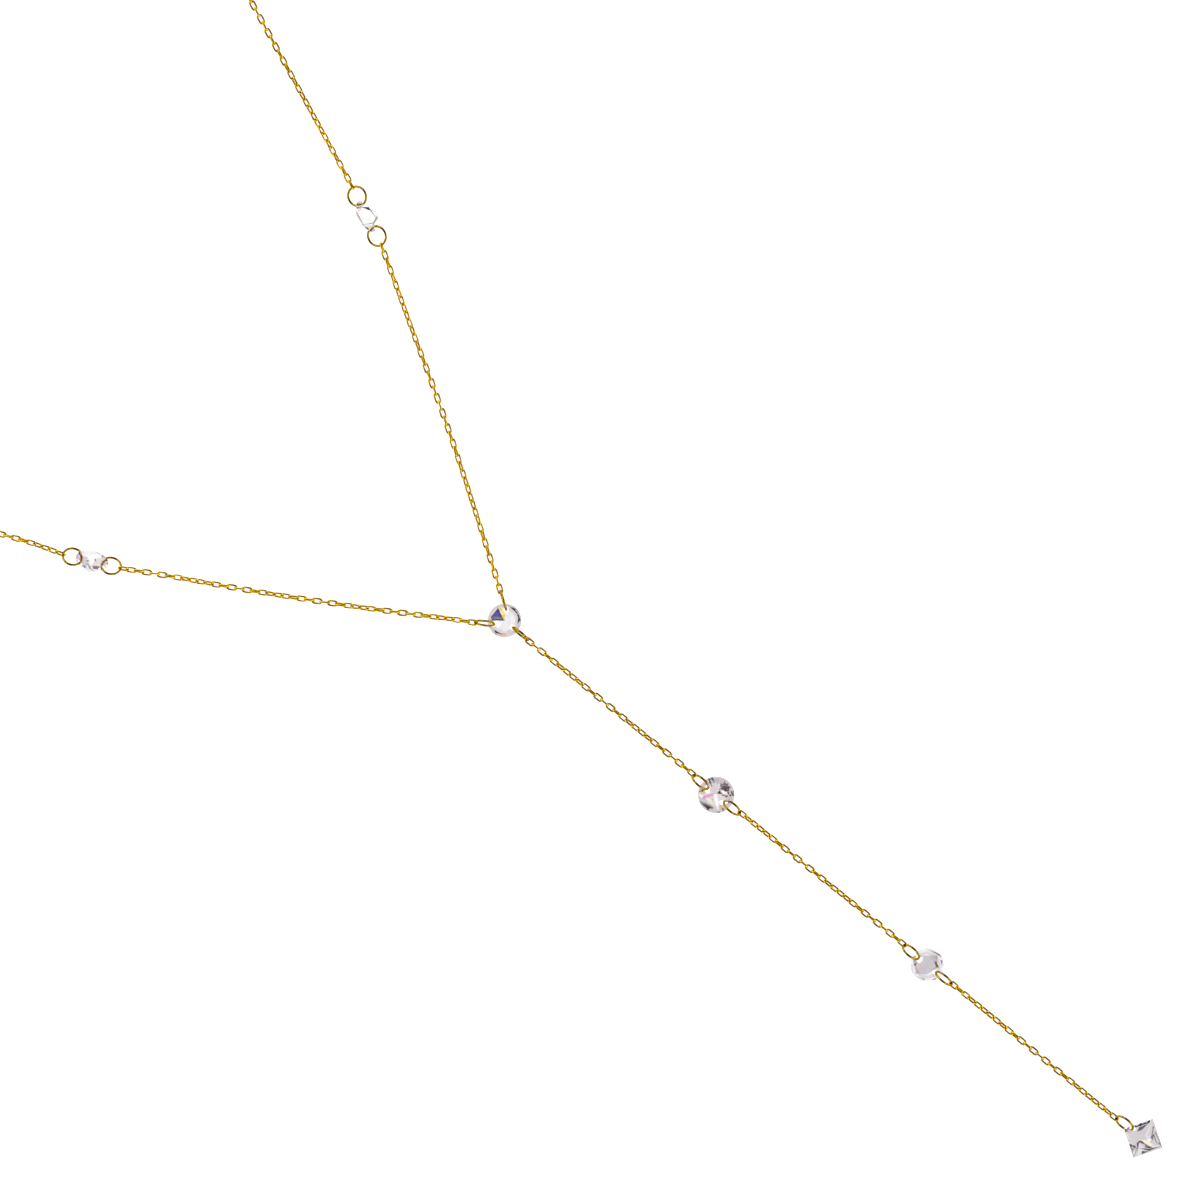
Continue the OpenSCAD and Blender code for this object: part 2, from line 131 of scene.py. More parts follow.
def crown_rise(d):
    return d / 2 * (1 - ROUND_TABLE) * math.tan(math.radians(CROWN_SLOPE))


def pavilion_rise(d):
    return d / 2 * math.tan(math.radians(PAVILION_SLOPE))


def hole_middle(d, inset):
    """Height of the middle of a round stone at its holes, and its thickness there."""
    low = crown_rise(d) * max(0, 1 - inset / (d / 2 * (1 - ROUND_TABLE)))
    high = crown_rise(d) + GIRDLE + inset * math.tan(math.radians(PAVILION_SLOPE))
    return (low + high) / 2, high - low


print("height of the Y stone:", round(crown_rise(Y_D) + GIRDLE + pavilion_rise(Y_D), 2), "mm")

# %% [markdown]
# ## Where the rings are
#
# A jump ring's wire runs through a drilled hole, so the ring's middle is one ring radius away from the hole.
# The rings of the stones that lie on their table stand on their edge and lean a little.

# %% Rings of the lying stones
def ring_z(lean):
    return RING_R * math.cos(math.radians(lean)) + RING_WIRE / 2


def standing(hole, heading, lean):
    return hole + polar(RING_R, heading) + Vector((0, 0, ring_z(lean))), heading, lean


def towards(place, other, hole_r, lean):
    return standing(place + polar(hole_r, aim(place, other)), aim(place, other), lean)


Y_HOLE_R = Y_D / 2 - Y_INSET
DROP_1_HOLE_R = DROP_1_D / 2 - DROP_1_INSET
DROP_2_HOLE_R = DROP_2_D / 2 - DROP_2_INSET
SQUARE_HOLE_R = SQUARE_W / math.sqrt(2) - SQUARE_INSET
Y_DOWN = aim(Y_PLACE, DROP_1_PLACE)
Y_HOLE_LEFT = polar(Y_HOLE_R, Y_DOWN - 120)
Y_HOLE_RIGHT = polar(Y_HOLE_R, Y_DOWN + 120)

# Each ring: middle, heading and lean
RINGS = {
    "y_ring_left": standing(Y_HOLE_LEFT, aim(Y_HOLE_LEFT, ROUTES["front_chain_left"][0]), 13),
    "y_ring_right": standing(Y_HOLE_RIGHT, aim(Y_HOLE_RIGHT, ROUTES["front_chain_right"][0]), 2),
    "y_ring_drop": standing(polar(Y_HOLE_R, Y_DOWN), Y_DOWN, -8),
    "drop_1_ring_top": towards(DROP_1_PLACE, Y_PLACE, DROP_1_HOLE_R, -23),
    "drop_1_ring_bottom": towards(DROP_1_PLACE, DROP_2_PLACE, DROP_1_HOLE_R, 24),
    "drop_2_ring_top": towards(DROP_2_PLACE, DROP_1_PLACE, DROP_2_HOLE_R, -25),
    "drop_2_ring_bottom": towards(DROP_2_PLACE, SQUARE_PLACE, DROP_2_HOLE_R, 17),
    "square_ring": towards(SQUARE_PLACE, DROP_2_PLACE, SQUARE_HOLE_R, 27),
}
print("rings of the lying stones:", len(RINGS))

# %% [markdown]
# The two neck stones are rolled up onto their girdle, and their rings are rolled as much. Each has one ring
# on the side of the back of the neck and one on the side of the Y stone.

# %% Rings of the neck stones
LEFT_HEADING, RIGHT_HEADING = 115.5, 65.5
LEFT_ROLL, RIGHT_ROLL = 55, 62


def neck_stone(side, out, up, inset, heading, roll):
    """Middle of a neck stone. Its two rings join the others."""
    r, tilt = SIDE_D / 2, math.radians(roll)
    z = r * math.sin(tilt) + (hole_middle(SIDE_D, inset)[0] - crown_rise(SIDE_D)) * math.cos(tilt)
    place, reach = Vector((out, up, z)), polar(r - inset + RING_R, heading)
    lean = math.copysign(roll, out)
    RINGS[f"side_{side}_ring_front"] = place - reach, heading + 180, -lean
    RINGS[f"side_{side}_ring_back"] = place + reach, heading, lean
    return place


LEFT_STONE = neck_stone("left", -29.7, 49.7, LEFT_INSET, LEFT_HEADING, LEFT_ROLL)
RIGHT_STONE = neck_stone("right", 31.6, 50.2, RIGHT_INSET, RIGHT_HEADING, RIGHT_ROLL)
print("neck stones:", LEFT_STONE, RIGHT_STONE)

# %% [markdown]
# The clasp lies half way round the neck. It is a plain ring with an eye, and a standing jump ring holds it on
# each side.

# %% Rings of the clasp
CLASP_AT = 177.4
CLASP_R, EYE_R = 2.3, 0.8
CLASP_HOLD, EYE_HOLD = 0.2, 0.5
CLASP_X = (2 * EYE_R + EYE_HOLD - CLASP_HOLD) / 2
clasp_left = CLASP_X - CLASP_R - 2 * EYE_R - EYE_HOLD
clasp_right = CLASP_X + CLASP_R + CLASP_HOLD
RINGS["clasp_ring_left"] = Vector((clasp_left, CLASP_AT, ring_z(0))), 180, 0
RINGS["clasp_ring_right"] = Vector((clasp_right, CLASP_AT, ring_z(0))), 0, 0
print("jump rings:", len(RINGS))

# %% [markdown]
# ## One way to finish every piece
#
# A finished mesh is scaled to metres where it stands, so its object keeps to the origin. It rides on the one
# body of the necklace, takes the place of its plain CAD node, and names the material slot that it belongs to.

# %% Finishing a piece
def new_mesh(name, bm, materials=()):
    mesh = bpy.data.meshes.new(name)
    bm.to_mesh(mesh)
    bm.free()
    for material in materials:
        mesh.materials.append(material)
    return mesh


def new_object(name, bm, materials=()):
    made = bpy.data.objects.new(name, new_mesh(name, bm, materials))
    bpy.context.scene.collection.objects.link(made)
    return made


def finish_piece(name, bm, materials, node):
    bmesh.ops.scale(bm, vec=(MM, MM, MM), verts=bm.verts)
    piece = new_object(name, bm, materials)
    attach(piece, "root")
    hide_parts(node)
    print(name, "faces:", len(piece.data.polygons))


# %% [markdown]
# ## Shader nodes
#
# A finish is a tree of shader nodes. To keep such trees short to read, one helper adds a node with its
# settings and fills its inputs: each input gets a plain value, or a link from another node. Two more give
# the result of a vector sum and a colour mixed from two others.

# %% Shader nodes
def fill(tree, node, inputs):
    for name, value in inputs.items():
        if isinstance(value, bpy.types.NodeSocket):
            tree.links.new(value, node.inputs[name])
        else:
            node.inputs[name].default_value = value


def add_node(tree, kind, inputs, **settings):
    node = tree.nodes.new(kind)
    for name, value in settings.items():
        setattr(node, name, value)
    fill(tree, node, inputs)
    return node


def vector_sum(tree, operation, *inputs):
    node = add_node(tree, "ShaderNodeVectorMath", dict(enumerate(inputs)), operation=operation)
    return node.outputs["Value" if operation in ("LENGTH", "DOT_PRODUCT") else "Vector"]


def mixed(tree, factor, a, b, blend="MIX"):
    inputs = {"Factor": factor, "A": a, "B": b}
    return add_node(tree, "ShaderNodeMix", inputs, data_type="RGBA", blend_type=blend).outputs["Result"]


# %% [markdown]
# ## Soft patches
#
# Polished metal and stone are never quite even. One node group gives soft patches of noise between a low and
# a high value, and each material mixes them into its own colour, roughness or bump. They read Object
# coordinates, so the marks stay on the piece from every side.

# %% Soft patches
NOISE_DETAIL = 3
NOISE_LOW, NOISE_HIGH = 0.32, 0.68


def new_group(name, inputs, outputs):
    """An empty node group, what comes into it and what goes out of it."""
    group = bpy.data.node_groups.new(name, "ShaderNodeTree")
    for way, sockets in (("INPUT", inputs), ("OUTPUT", outputs)):
        for socket, kind in sockets.items():
            group.interface.new_socket(name=socket, in_out=way, socket_type="NodeSocket" + kind)
    return group, group.nodes.new("NodeGroupInput").outputs, group.nodes.new("NodeGroupOutput")


def patches_group():
    inputs = {"Vector": "Vector", "Scale": "Float", "Low": "Float", "High": "Float"}
    group, into, out = new_group("soft_patches", inputs, {"Value": "Float"})
    noise = add_node(group, "ShaderNodeTexNoise",
                     {"Vector": into["Vector"], "Scale": into["Scale"], "Detail": NOISE_DETAIL})
    spread = {"Value": noise.outputs["Fac"], "From Min": NOISE_LOW, "From Max": NOISE_HIGH,
              "To Min": into["Low"], "To Max": into["High"]}
    fill(group, out, {"Value": add_node(group, "ShaderNodeMapRange", spread).outputs["Result"]})
    return group


SOFT_PATCHES = patches_group()
print(SOFT_PATCHES.name, "nodes:", len(SOFT_PATCHES.nodes))

# %% [markdown]
# Each material starts the same way: a Principled shader, and Object coordinates for its patterns.

# %% Starting a material
def patches(tree, coords, scale, low, high):
    inputs = {"Vector": coords, "Scale": scale, "Low": low, "High": high}
    return add_node(tree, "ShaderNodeGroup", inputs, node_tree=SOFT_PATCHES).outputs["Value"]


def empty_material(name):
    material = bpy.data.materials.new(name)
    material.use_nodes = True
    tree = material.node_tree
    coords = add_node(tree, "ShaderNodeTexCoord", {}).outputs["Object"]
    print("material:", name)
    return material, tree, tree.nodes["Principled BSDF"], coords


# %% [markdown]
# ## Gold
#
# The chain is plated a warm yellow. A metal has no colour of its own but that of its reflections, so the base
# colour is a saturated yellow, with a redder shade in patches where the polish is thinner. The rings look
# darker than the links, so they get a darker copy of the same gold, which is painted shade.

# %% Gold materials
WEAR_SCALE, POLISH_SCALE, RUB_SCALE = 700, 2500, 9000
RUB_DEPTH, RUB_STRENGTH = 0.01 * MM, 0.3
WARM_EDGE = (0.85, 0.6, 0.2, 1)


def gold_material(name, bright, deep, rough_low, rough_high):
    material, tree, shader, coords = empty_material(name)
    colour = mixed(tree, patches(tree, coords, WEAR_SCALE, 0, 1), (*bright, 1), (*deep, 1))
    rough = patches(tree, coords, POLISH_SCALE, rough_low, rough_high)
    rub = {"Height": patches(tree, coords, RUB_SCALE, 0, 1), "Distance": RUB_DEPTH, "Strength": RUB_STRENGTH}
    normal = add_node(tree, "ShaderNodeBump", rub).outputs["Normal"]
    fill(tree, shader, {"Base Color": colour, "Roughness": rough, "Normal": normal, "Metallic": 1,
                        "Specular Tint": WARM_EDGE})
    return material


LINK_GOLD = gold_material("link_gold", (0.7, 0.445, 0.0125), (0.55, 0.33, 0.009), 0.08, 0.18)
# The rings' gold is the links' gold painted darker, as painted shade.
SHADED_RING_GOLD = gold_material("ring_gold_painted_shade", (0.375, 0.226, 0.008), (0.27, 0.155, 0.005), 0.1, 0.2)

# %% [markdown]
# ## Jump rings
#
# A jump ring is one turn of round wire, cut and closed so that its ends meet. A small circle spun almost all
# the way round gives the wire, and its two ends are capped, so the fine seam of the real ring stays. The ring
# keeps its middle line from the solids, and only its wire is drawn thicker.

# %% Jump rings
DRAWN_WIRE = 0.33
RING_STEPS = 56
RING_SIDES = 14
SEAM_DEGREES = 1.6
SEAM_AT = 60


def placed(bm, place):
    bmesh.ops.transform(bm, matrix=place, verts=bm.verts)
    return bm


def jump_ring(name, middle, heading, lean):
    bm = bmesh.new()
    bmesh.ops.create_circle(bm, segments=RING_SIDES, radius=DRAWN_WIRE / 2, cap_ends=True)
    placed(bm, turned(SEAM_AT, "Z") @ Matrix.Translation((RING_R, 0, 0)) @ turned(90, "X"))
    bmesh.ops.spin(bm, geom=bm.faces[:] + bm.edges[:] + bm.verts[:], cent=(0, 0, 0), axis=(0, 0, 1),
                   angle=math.radians(360 - SEAM_DEGREES), steps=RING_STEPS, use_duplicate=False)
    bmesh.ops.recalc_face_normals(bm, faces=bm.faces)
    for face in bm.faces:
        face.smooth = len(face.verts) == 4
    placed(bm, Matrix.Translation(middle) @ turned(heading, "Z") @ turned(90 + lean, "X"))
    finish_piece(name + "_wire", bm, [SHADED_RING_GOLD], name)


for name, place in RINGS.items():
    jump_ring(name, *place)

# %% [markdown]
# ## Chain links
#
# A cable chain's link is round wire bent to an oval with straight sides. The wire's section is spun half a
# turn, drawn straight, spun the other half turn and joined to its start. It has only a few dozen faces,
# because the necklace repeats it about 450 times.

# %% One link
END_STEPS = 5
WIRE_SIDES = 6


def edges_of(geom):
    return [g for g in geom if isinstance(g, bmesh.types.BMEdge)]


def link_mesh(inner):
    """A link that is so long inside."""
    bend = (CHAIN_W - CHAIN_WIRE) / 2
    straight = inner + 2 * CHAIN_WIRE - CHAIN_W
    turn = {"axis": (0, 0, 1), "angle": math.pi, "steps": END_STEPS, "use_duplicate": False}
    bm = bmesh.new()
    bmesh.ops.create_circle(bm, segments=WIRE_SIDES, radius=CHAIN_WIRE / 2)
    placed(bm, Matrix.Translation((straight / 2, -bend, 0)) @ turned(90, "Y"))
    start = bm.edges[:]
    half = bmesh.ops.spin(bm, geom=start, cent=(straight / 2, 0, 0), **turn)["geom_last"]
    side = bmesh.ops.extrude_edge_only(bm, edges=edges_of(half))["geom"]
    moved = [g for g in side if isinstance(g, bmesh.types.BMVert)]
    bmesh.ops.translate(bm, vec=(-straight, 0, 0), verts=moved)
    rim = [edge for edge in edges_of(side) if edge.is_boundary]
    last = bmesh.ops.spin(bm, geom=rim, cent=(-straight / 2, 0, 0), **turn)["geom_last"]
    bmesh.ops.bridge_loops(bm, edges=start + edges_of(last))
    bmesh.ops.recalc_face_normals(bm, faces=bm.faces)
    for face in bm.faces:
        face.smooth = True
    return new_mesh("link", bm)


# %% [markdown]
# ## Routes of the chains
#
# A chain starts where it pulls at a ring's wire and follows a smooth curve through its route's points. The
# routes are those of the CAD strands, and no link sinks into the surface.

# %% Routes of the chains
PULL = 20


def curve(points, steps):
    """The smooth curve of part.scad through the route's points, never below the surface."""
    path = []
    for i in range(len(points) - 1):
        b, c = points[i], points[i + 1]
        a = points[i - 1] if i else 2 * b - c
        d = points[i + 2] if i + 2 < len(points) else 2 * c - b
        for j in range(steps):
            t = j / steps
            path.append(0.5 * (2 * b + (c - a) * t + (2 * a - 5 * b + 4 * c - d) * t * t
                               + (3 * b - a - 3 * c + d) * t ** 3))
    path.append(points[-1])
    for point in path:
        point.z = max(point.z, CHAIN_Z)
    return path


def pull_point(name, angle=PULL):
    """The place on a ring's wire that the chain pulls at."""
    middle, heading, lean = RINGS[name]
    tilt, pull = math.radians(lean), math.radians(angle)
    up = math.cos(tilt) * Vector((0, 0, 1)) - math.sin(tilt) * polar(1, heading + 90)
    return middle + math.cos(pull) * polar(RING_R, heading) - math.sin(pull) * RING_R * up


print("the drop starts at", pull_point("y_ring_drop"))

# %% [markdown]
# ## Chain along a route
#
# Links hook into each other at a fixed step, each turned a quarter from the one before, and the whole chain
# has a slow twist of its own. At each end the last link hangs square in its jump ring, or a few degrees
# steeper, so the twist is nudged until it does.

# %% Chain along a route
TOUCH = 0.01


def chain(name, path, first_roll, last_roll, twist, count=None):
    steps = [(path[i + 1] - path[i]).length for i in range(len(path) - 1)]
    run = sum(steps) + RING_WIRE + TOUCH
    count = count or round(run / LINK_PITCH)
    pitch = run / count
    inner = pitch + TOUCH
    square = last_roll - first_roll - 90 * (count - 1)
    twist = square + 180 * round((twist - square) / 180)
    link = link_mesh(inner)
    bm = bmesh.new()
    for i in range(count):
        s = inner / 2 - RING_WIRE / 2 - TOUCH + i * pitch
        k = 0
        while s > steps[k] and k < len(steps) - 1:
            s -= steps[k]
            k += 1
        way = (path[k + 1] - path[k]).normalized()
        roll = first_roll + i * (90 + twist / (count - 1))
        place = (Matrix.Translation(path[k] + s * way)
                 @ turned(math.degrees(math.atan2(way.y, way.x)), "Z")
                 @ turned(-math.degrees(math.asin(way.z)), "Y") @ turned(roll, "X"))
        before = len(bm.verts)
        bm.from_mesh(link)
        bm.verts.ensure_lookup_table()
        bmesh.ops.transform(bm, matrix=place, verts=bm.verts[before:])
    bpy.data.meshes.remove(link)
    print(name, "links:", count, "step:", round(pitch, 3), "twist:", round(twist))
    finish_piece(name + "_links", bm, [LINK_GOLD], name)


# %% [markdown]
# ## Chains of the drop
#
# Three equal chains hang one below the other from the Y stone. Each comes down from its upper ring, lies on
# the surface and rises to its lower ring over a few millimetres.

# %% Chains of the drop
RISE = 4
DROP_TWIST = 200
DROP_STEPS = 4


def drop_chain(name, upper, lower):
    a, b = pull_point(upper), pull_point(lower)
    rise = RISE * Vector((b.x - a.x, b.y - a.y, 0)).normalized()

    def height(p, z):
        return Vector((p.x, p.y, z))

    points = [a, height(a + rise / 2, (a.z + CHAIN_Z) / 2), height(a + rise, CHAIN_Z),
              height((a + b) / 2, CHAIN_Z), height(b - rise, CHAIN_Z),
              height(b - rise / 2, (b.z + CHAIN_Z) / 2), b]
    chain(name, curve(points, DROP_STEPS), RINGS[upper][2], -RINGS[lower][2], DROP_TWIST)


drop_chain("drop_chain_1", "y_ring_drop", "drop_1_ring_top")
drop_chain("drop_chain_2", "drop_1_ring_bottom", "drop_2_ring_top")
drop_chain("drop_chain_3", "drop_2_ring_bottom", "square_ring")

# %% [markdown]
# ## Neck chains
#
# Two short chains go up to the neck stones and two long ones round the back of the neck. How much each one
# twists decides where its links lie flat or stand on edge. At the right neck stone the end links hang a
# little steeper than square in their rings.

# %% Neck chains
STEEPER = {"side_right_ring_front": 14, "side_right_ring_back": 14}
NECK_STEPS = 6


def link_roll(ring):
    lean = RINGS[ring][2]
    return lean + math.copysign(STEEPER.get(ring, 0), lean)


def neck_chain(name, first, first_pull, last, last_pull, twist, count=None):
    points = [Vector(point) for point in ROUTES[name]]
    points = [pull_point(first, first_pull), *points, pull_point(last, last_pull)]
    chain(name, curve(points, NECK_STEPS), link_roll(first), -link_roll(last), twist, count)


neck_chain("front_chain_left", "y_ring_left", PULL, "side_left_ring_front", 0, twist=437)
neck_chain("front_chain_right", "y_ring_right", PULL, "side_right_ring_front", 0, twist=178, count=46)
neck_chain("back_chain_left", "side_left_ring_back", 0, "clasp_ring_left", PULL, twist=900)
neck_chain("back_chain_right", "side_right_ring_back", 0, "clasp_ring_right", PULL, twist=-430)

# %% [markdown]
# ## Facet flashes
#
# The stones are colourless and brilliant. Seen from above their points are up, and most of each stone shows
# the pale surface under it, in greys that are painted on as shade. Here and there a facet flashes dark,
# amber,
# pink or violet instead: these flashes are painted reflections. A group paints one such flash between three
# corners, and a stone's material chains as many of them as it shows.

# %% Flash group
FLASH_EDGE = 0.08 * MM
SIDES = ["Side 1", "Side 2", "Side 3"]


def flash_group():
    inputs = {"Place": "Vector", "Color": "Color", "Flash": "Color", **dict.fromkeys(SIDES, "Vector")}
    group, into, out = new_group("facet_flash", inputs, {"Color": "Color"})
    inside = None
    for side in SIDES:
        depth = vector_sum(group, "DOT_PRODUCT", into["Place"], into[side])
        if inside:
            depth = add_node(group, "ShaderNodeMath", {0: inside, 1: depth}, operation="MINIMUM").outputs[0]
        inside = depth
    edge = {"Value": inside, "From Min": -FLASH_EDGE, "From Max": 0}
    edge = add_node(group, "ShaderNodeMapRange", edge, interpolation_type="SMOOTHSTEP")
    fill(group, out, {"Color": mixed(group, edge.outputs["Result"], into["Color"], into["Flash"])})
    return group


FACET_FLASH = flash_group()
print(FACET_FLASH.name, "nodes:", len(FACET_FLASH.nodes))

# %% [markdown]
# A flash's corners are steps of a seventh of a millimetre to the right and down from the stone's middle, as
# the camera looks. Each side of the triangle becomes a line that tells how far inside it a place lies.

# %% Corners of a flash
SEEN_RIGHT, SEEN_UP = Vector((0.6298, -0.7768, 0)), Vector((0.7768, 0.6298, 0))
STEP = 1 / 7.2


def seen(right, down):
    return (SEEN_RIGHT * right - SEEN_UP * down) * STEP


def flash_side(a, b):
    """The dot product of this with a place is how far inside the place lies."""
    across = Vector((a.y - b.y, b.x - a.x, 0)).normalized()
    return across + Vector((0, 0, across.dot(a) * MM))


print("ten steps to the right:", seen(10, 0))

# %% [markdown]
# Glass has no shade of its own, only what it takes from the light behind it. So each shade is divided by how
# bright the surface looks through the stone, which is a little different in its middle and near its rim.

# %% Tint of clear glass
def glass_tint(shade, light):
    """Base colour of glass that shows a screen shade over a surface as bright as light."""
    return [min(1, ((value / 255 + 0.055) / 1.055) ** 2.4 / light) ** 2 for value in shade] + [1]


print("mid grey:", glass_tint((128, 128, 128), 1.4))

# %% [markdown]
# The painted flashes get ragged edges and the painted grey shade gets mottled. Noise shakes the places that
# the pattern reads, a band leads from the middle's painted grey to the rim's, and soft patches darken both a
# little.

# %% Painted grey shade of a stone
JAG_SCALE = 4500
RIM_START, RIM_END = 0.74, 0.86
# Soft patches that mottle the painted grey shade of the glass.
SHADE_MOTTLE, SHADE_MOTTLE_SCALE, SHADE_MOTTLE_MOST = (0.8, 0.78, 0.82, 1), 1500, 0.6


def from_middle(tree, coords, place, jagged):
    """Steps from the stone's middle, level with the surface."""
    noise = add_node(tree, "ShaderNodeTexNoise", {"Scale": JAG_SCALE, "Vector": coords})
    shaken = vector_sum(tree, "MULTIPLY_ADD", noise.outputs["Color"], (jagged * MM,) * 3, coords)
    centred = vector_sum(tree, "SUBTRACT", shaken, (place + Vector((1, 1, 1)) * jagged / 2) * MM)
    return vector_sum(tree, "MULTIPLY", centred, (1, 1, 0))


# The painted grey shade of a clear stone: one painted grey in its middle and one near its rim, mottled a
# little.
def painted_stone_shade(tree, coords, level, radius, middle, rim):
    band = {"Value": vector_sum(tree, "LENGTH", level), "From Min": radius * RIM_START * MM,
            "From Max": radius * RIM_END * MM}
    band = add_node(tree, "ShaderNodeMapRange", band).outputs["Result"]
    grey = mixed(tree, band, middle, rim)
    return mixed(tree, patches(tree, coords, SHADE_MOTTLE_SCALE, 0, SHADE_MOTTLE_MOST), grey, SHADE_MOTTLE, "MULTIPLY")


# %% [markdown]
# ## Clear stone
#
# The stone's glass starts with its painted grey shade, and each flash, a painted reflection, is laid over
# what comes before it. Only the faces that look up are painted, and an attribute on the mesh marks them: a
# ray that leaves through the underside isn't tinted twice. The glass bends light only a little, so that the
# stone looks pale to its rim.

# %% Clear stone
UPPER_FACE = "upper_face"
UNPAINTED = (0.97, 0.97, 0.98, 1)
RIM_FLASH = 0.72


def stone_material(name, place, radius, flashes, plain, rim, light, rim_light, jagged, ior=1.2):
    material, tree, shader, coords = empty_material(name)
    level = from_middle(tree, coords, place, jagged)
    # Painted grey shade of the glass, in its middle and at its rim.
    colour = painted_stone_shade(tree, coords, level, radius, glass_tint(plain, light), glass_tint(rim, rim_light))
    flat = vector_sum(tree, "SUBTRACT", level, (0, 0, 1))
    # Each flash is a painted reflection laid on the upward facets.
    for shade, *corners in flashes:
        corners = [seen(*corner) for corner in corners]
        if (corners[1] - corners[0]).cross(corners[2] - corners[0]).z < 0:
            corners.reverse()
        by_rim = sum(corners, Vector()).length / 3 > RIM_FLASH * radius
        inputs = {"Place": flat, "Color": colour, "Flash": glass_tint(shade, rim_light if by_rim else light)}
        for side, a, b in zip(SIDES, corners, corners[1:] + corners[:1]):
            inputs[side] = flash_side(a, b)
        colour = add_node(tree, "ShaderNodeGroup", inputs, node_tree=FACET_FLASH).outputs["Color"]
    upper = add_node(tree, "ShaderNodeAttribute", {}, attribute_name=UPPER_FACE).outputs["Fac"]
    colour = mixed(tree, upper, UNPAINTED, colour)
    fill(tree, shader, {"Base Color": colour, "Roughness": 0, "IOR": ior, "Transmission Weight": 1})
    print(name, "flashes:", len(flashes))
    return material


# %% [markdown]
# The drill leaves its wall a little rougher than the cut faces, and a touch darker in patches.

# %% Drilled wall
WALL_PALE, WALL_DARK = (0.97, 0.96, 0.97, 1), (0.86, 0.83, 0.84, 1)
WALL_SCALE, WALL_ROUGH, WALL_IOR = 2600, 0.1, 1.04


def drilled_wall():
    material, tree, shader, coords = empty_material("drilled_wall")
    colour = mixed(tree, patches(tree, coords, WALL_SCALE, 0, 1), WALL_PALE, WALL_DARK)
    fill(tree, shader, {"Base Color": colour, "Roughness": WALL_ROUGH, "IOR": WALL_IOR,
                        "Transmission Weight": 1})
    return material


DRILLED_WALL = drilled_wall()

# %% [markdown]
# ## Flashes of the six stones
#
# The flashes are charted, each with a shade and its three corners. The shades have names, because
# many flashes share one.

# %% Shades of the flashes
DARK, BLACK, SMOKE, MID = (92, 82, 86), (66, 56, 62), (128, 118, 122), (168, 162, 166)
INK, SLATE, WHITE, PINK_GREY = (84, 84, 104), (140, 140, 166), (254, 254, 254), (224, 214, 212)
VIOLET, PLUM, YELLOW, STRAW = (93, 76, 176), (74, 54, 96), (240, 208, 60), (248, 230, 136)
AMBER, CREAM = (232, 200, 150), (250, 240, 216)
BROWN, PINK, OLIVE, PALE_GREEN = (124, 90, 82), (226, 162, 196), (140, 140, 120), (230, 234, 226)
GREY_MAUVE, PINK_MAUVE, LILAC, PALE = (206, 199, 205), (204, 188, 190), (224, 222, 238), (228, 225, 231)
WARM_GREY = (216, 206, 204)
print("a black flash:", BLACK)

# %% [markdown]
# The Y stone is nearly white. Beside its middle a painted violet reflection meets a yellow one, and short
# painted dark reflections follow its rim.

# %% Glass of the Y stone
Y_FLASHES = [
    (VIOLET, (-6.7, -11.8), (-13.4, -3.6), (-2.6, -2.6)), (PLUM, (-6.7, -11.8), (-0.4, -0.5), (-4.6, -3.2)),
    (PLUM, (-6.5, -12), (-7.8, -9.4), (-4.8, -9)), (SMOKE, (-13.6, -3.8), (-2.8, -3.2), (-12.6, -0.2)),
    (SMOKE, (-12.6, -0.2), (-2.8, -3.2), (-0.3, -0.4)), (DARK, (-12.8, -0.6), (-0.2, -1.6), (0, 0)),
    (STRAW, (-5.4, -12.8), (-1.4, -12.8), (-0.6, -1.5)), (STRAW, (-3.4, -10), (-1.2, -11), (0.7, -3)),
    (YELLOW, (-5, -12.8), (-2.2, -12.8), (-3.2, -9.6)), (YELLOW, (-2, -5.4), (0.8, -6.6), (-0.4, -1.2)),
    (BLACK, (6.2, -13.2), (11, -11.6), (10.1, -9.5)), (BLACK, (9.3, -12), (13.3, -6.8), (11.4, -7.8)),
    (MID, (7.2, -15.8), (8.2, -15.8), (11.4, -11.8)), (MID, (10.8, -12.4), (12, -11.4), (13.8, -8)),
    (BLACK, (12.4, -5.8), (14.2, -5.6), (15.8, -0.6)), (BLACK, (13.8, -3), (16, -0.8), (13.2, 2.8)),
    (WARM_GREY, (12.4, 5), (14.6, 5), (13.4, 9.4)), (BLACK, (-10.2, 9.6), (-8.8, 12.4), (-4, 13.2)),
    (SMOKE, (-5.8, 12), (-5.2, 13.3), (-0.6, 14.3)), (SMOKE, (-12.8, 12.4), (-11.2, 11.4), (-11.6, 12.8)),
    (SMOKE, (-10, 13), (-9.2, 13), (-6.8, 15.8)), (AMBER, (-2.4, 12.6), (2.6, 13.4), (0, 15.8)),
    (PINK_GREY, (4, 9.6), (10.6, 11), (5.6, 16)), (PINK_GREY, (10.6, 11), (12, 14), (5.6, 16)),
    (WHITE, (-3.6, -13), (4.6, -13), (1.6, -7.4)), (WHITE, (-8.4, 1), (-2.4, 2.6), (-7.2, 7.2)),
]
Y_GLASS = stone_material(
    "y_glass", Y_PLACE, Y_D / 2, Y_FLASHES,
    plain=(240, 238, 240), rim=(226, 216, 212), light=1.41, rim_light=1.3, jagged=0.05)
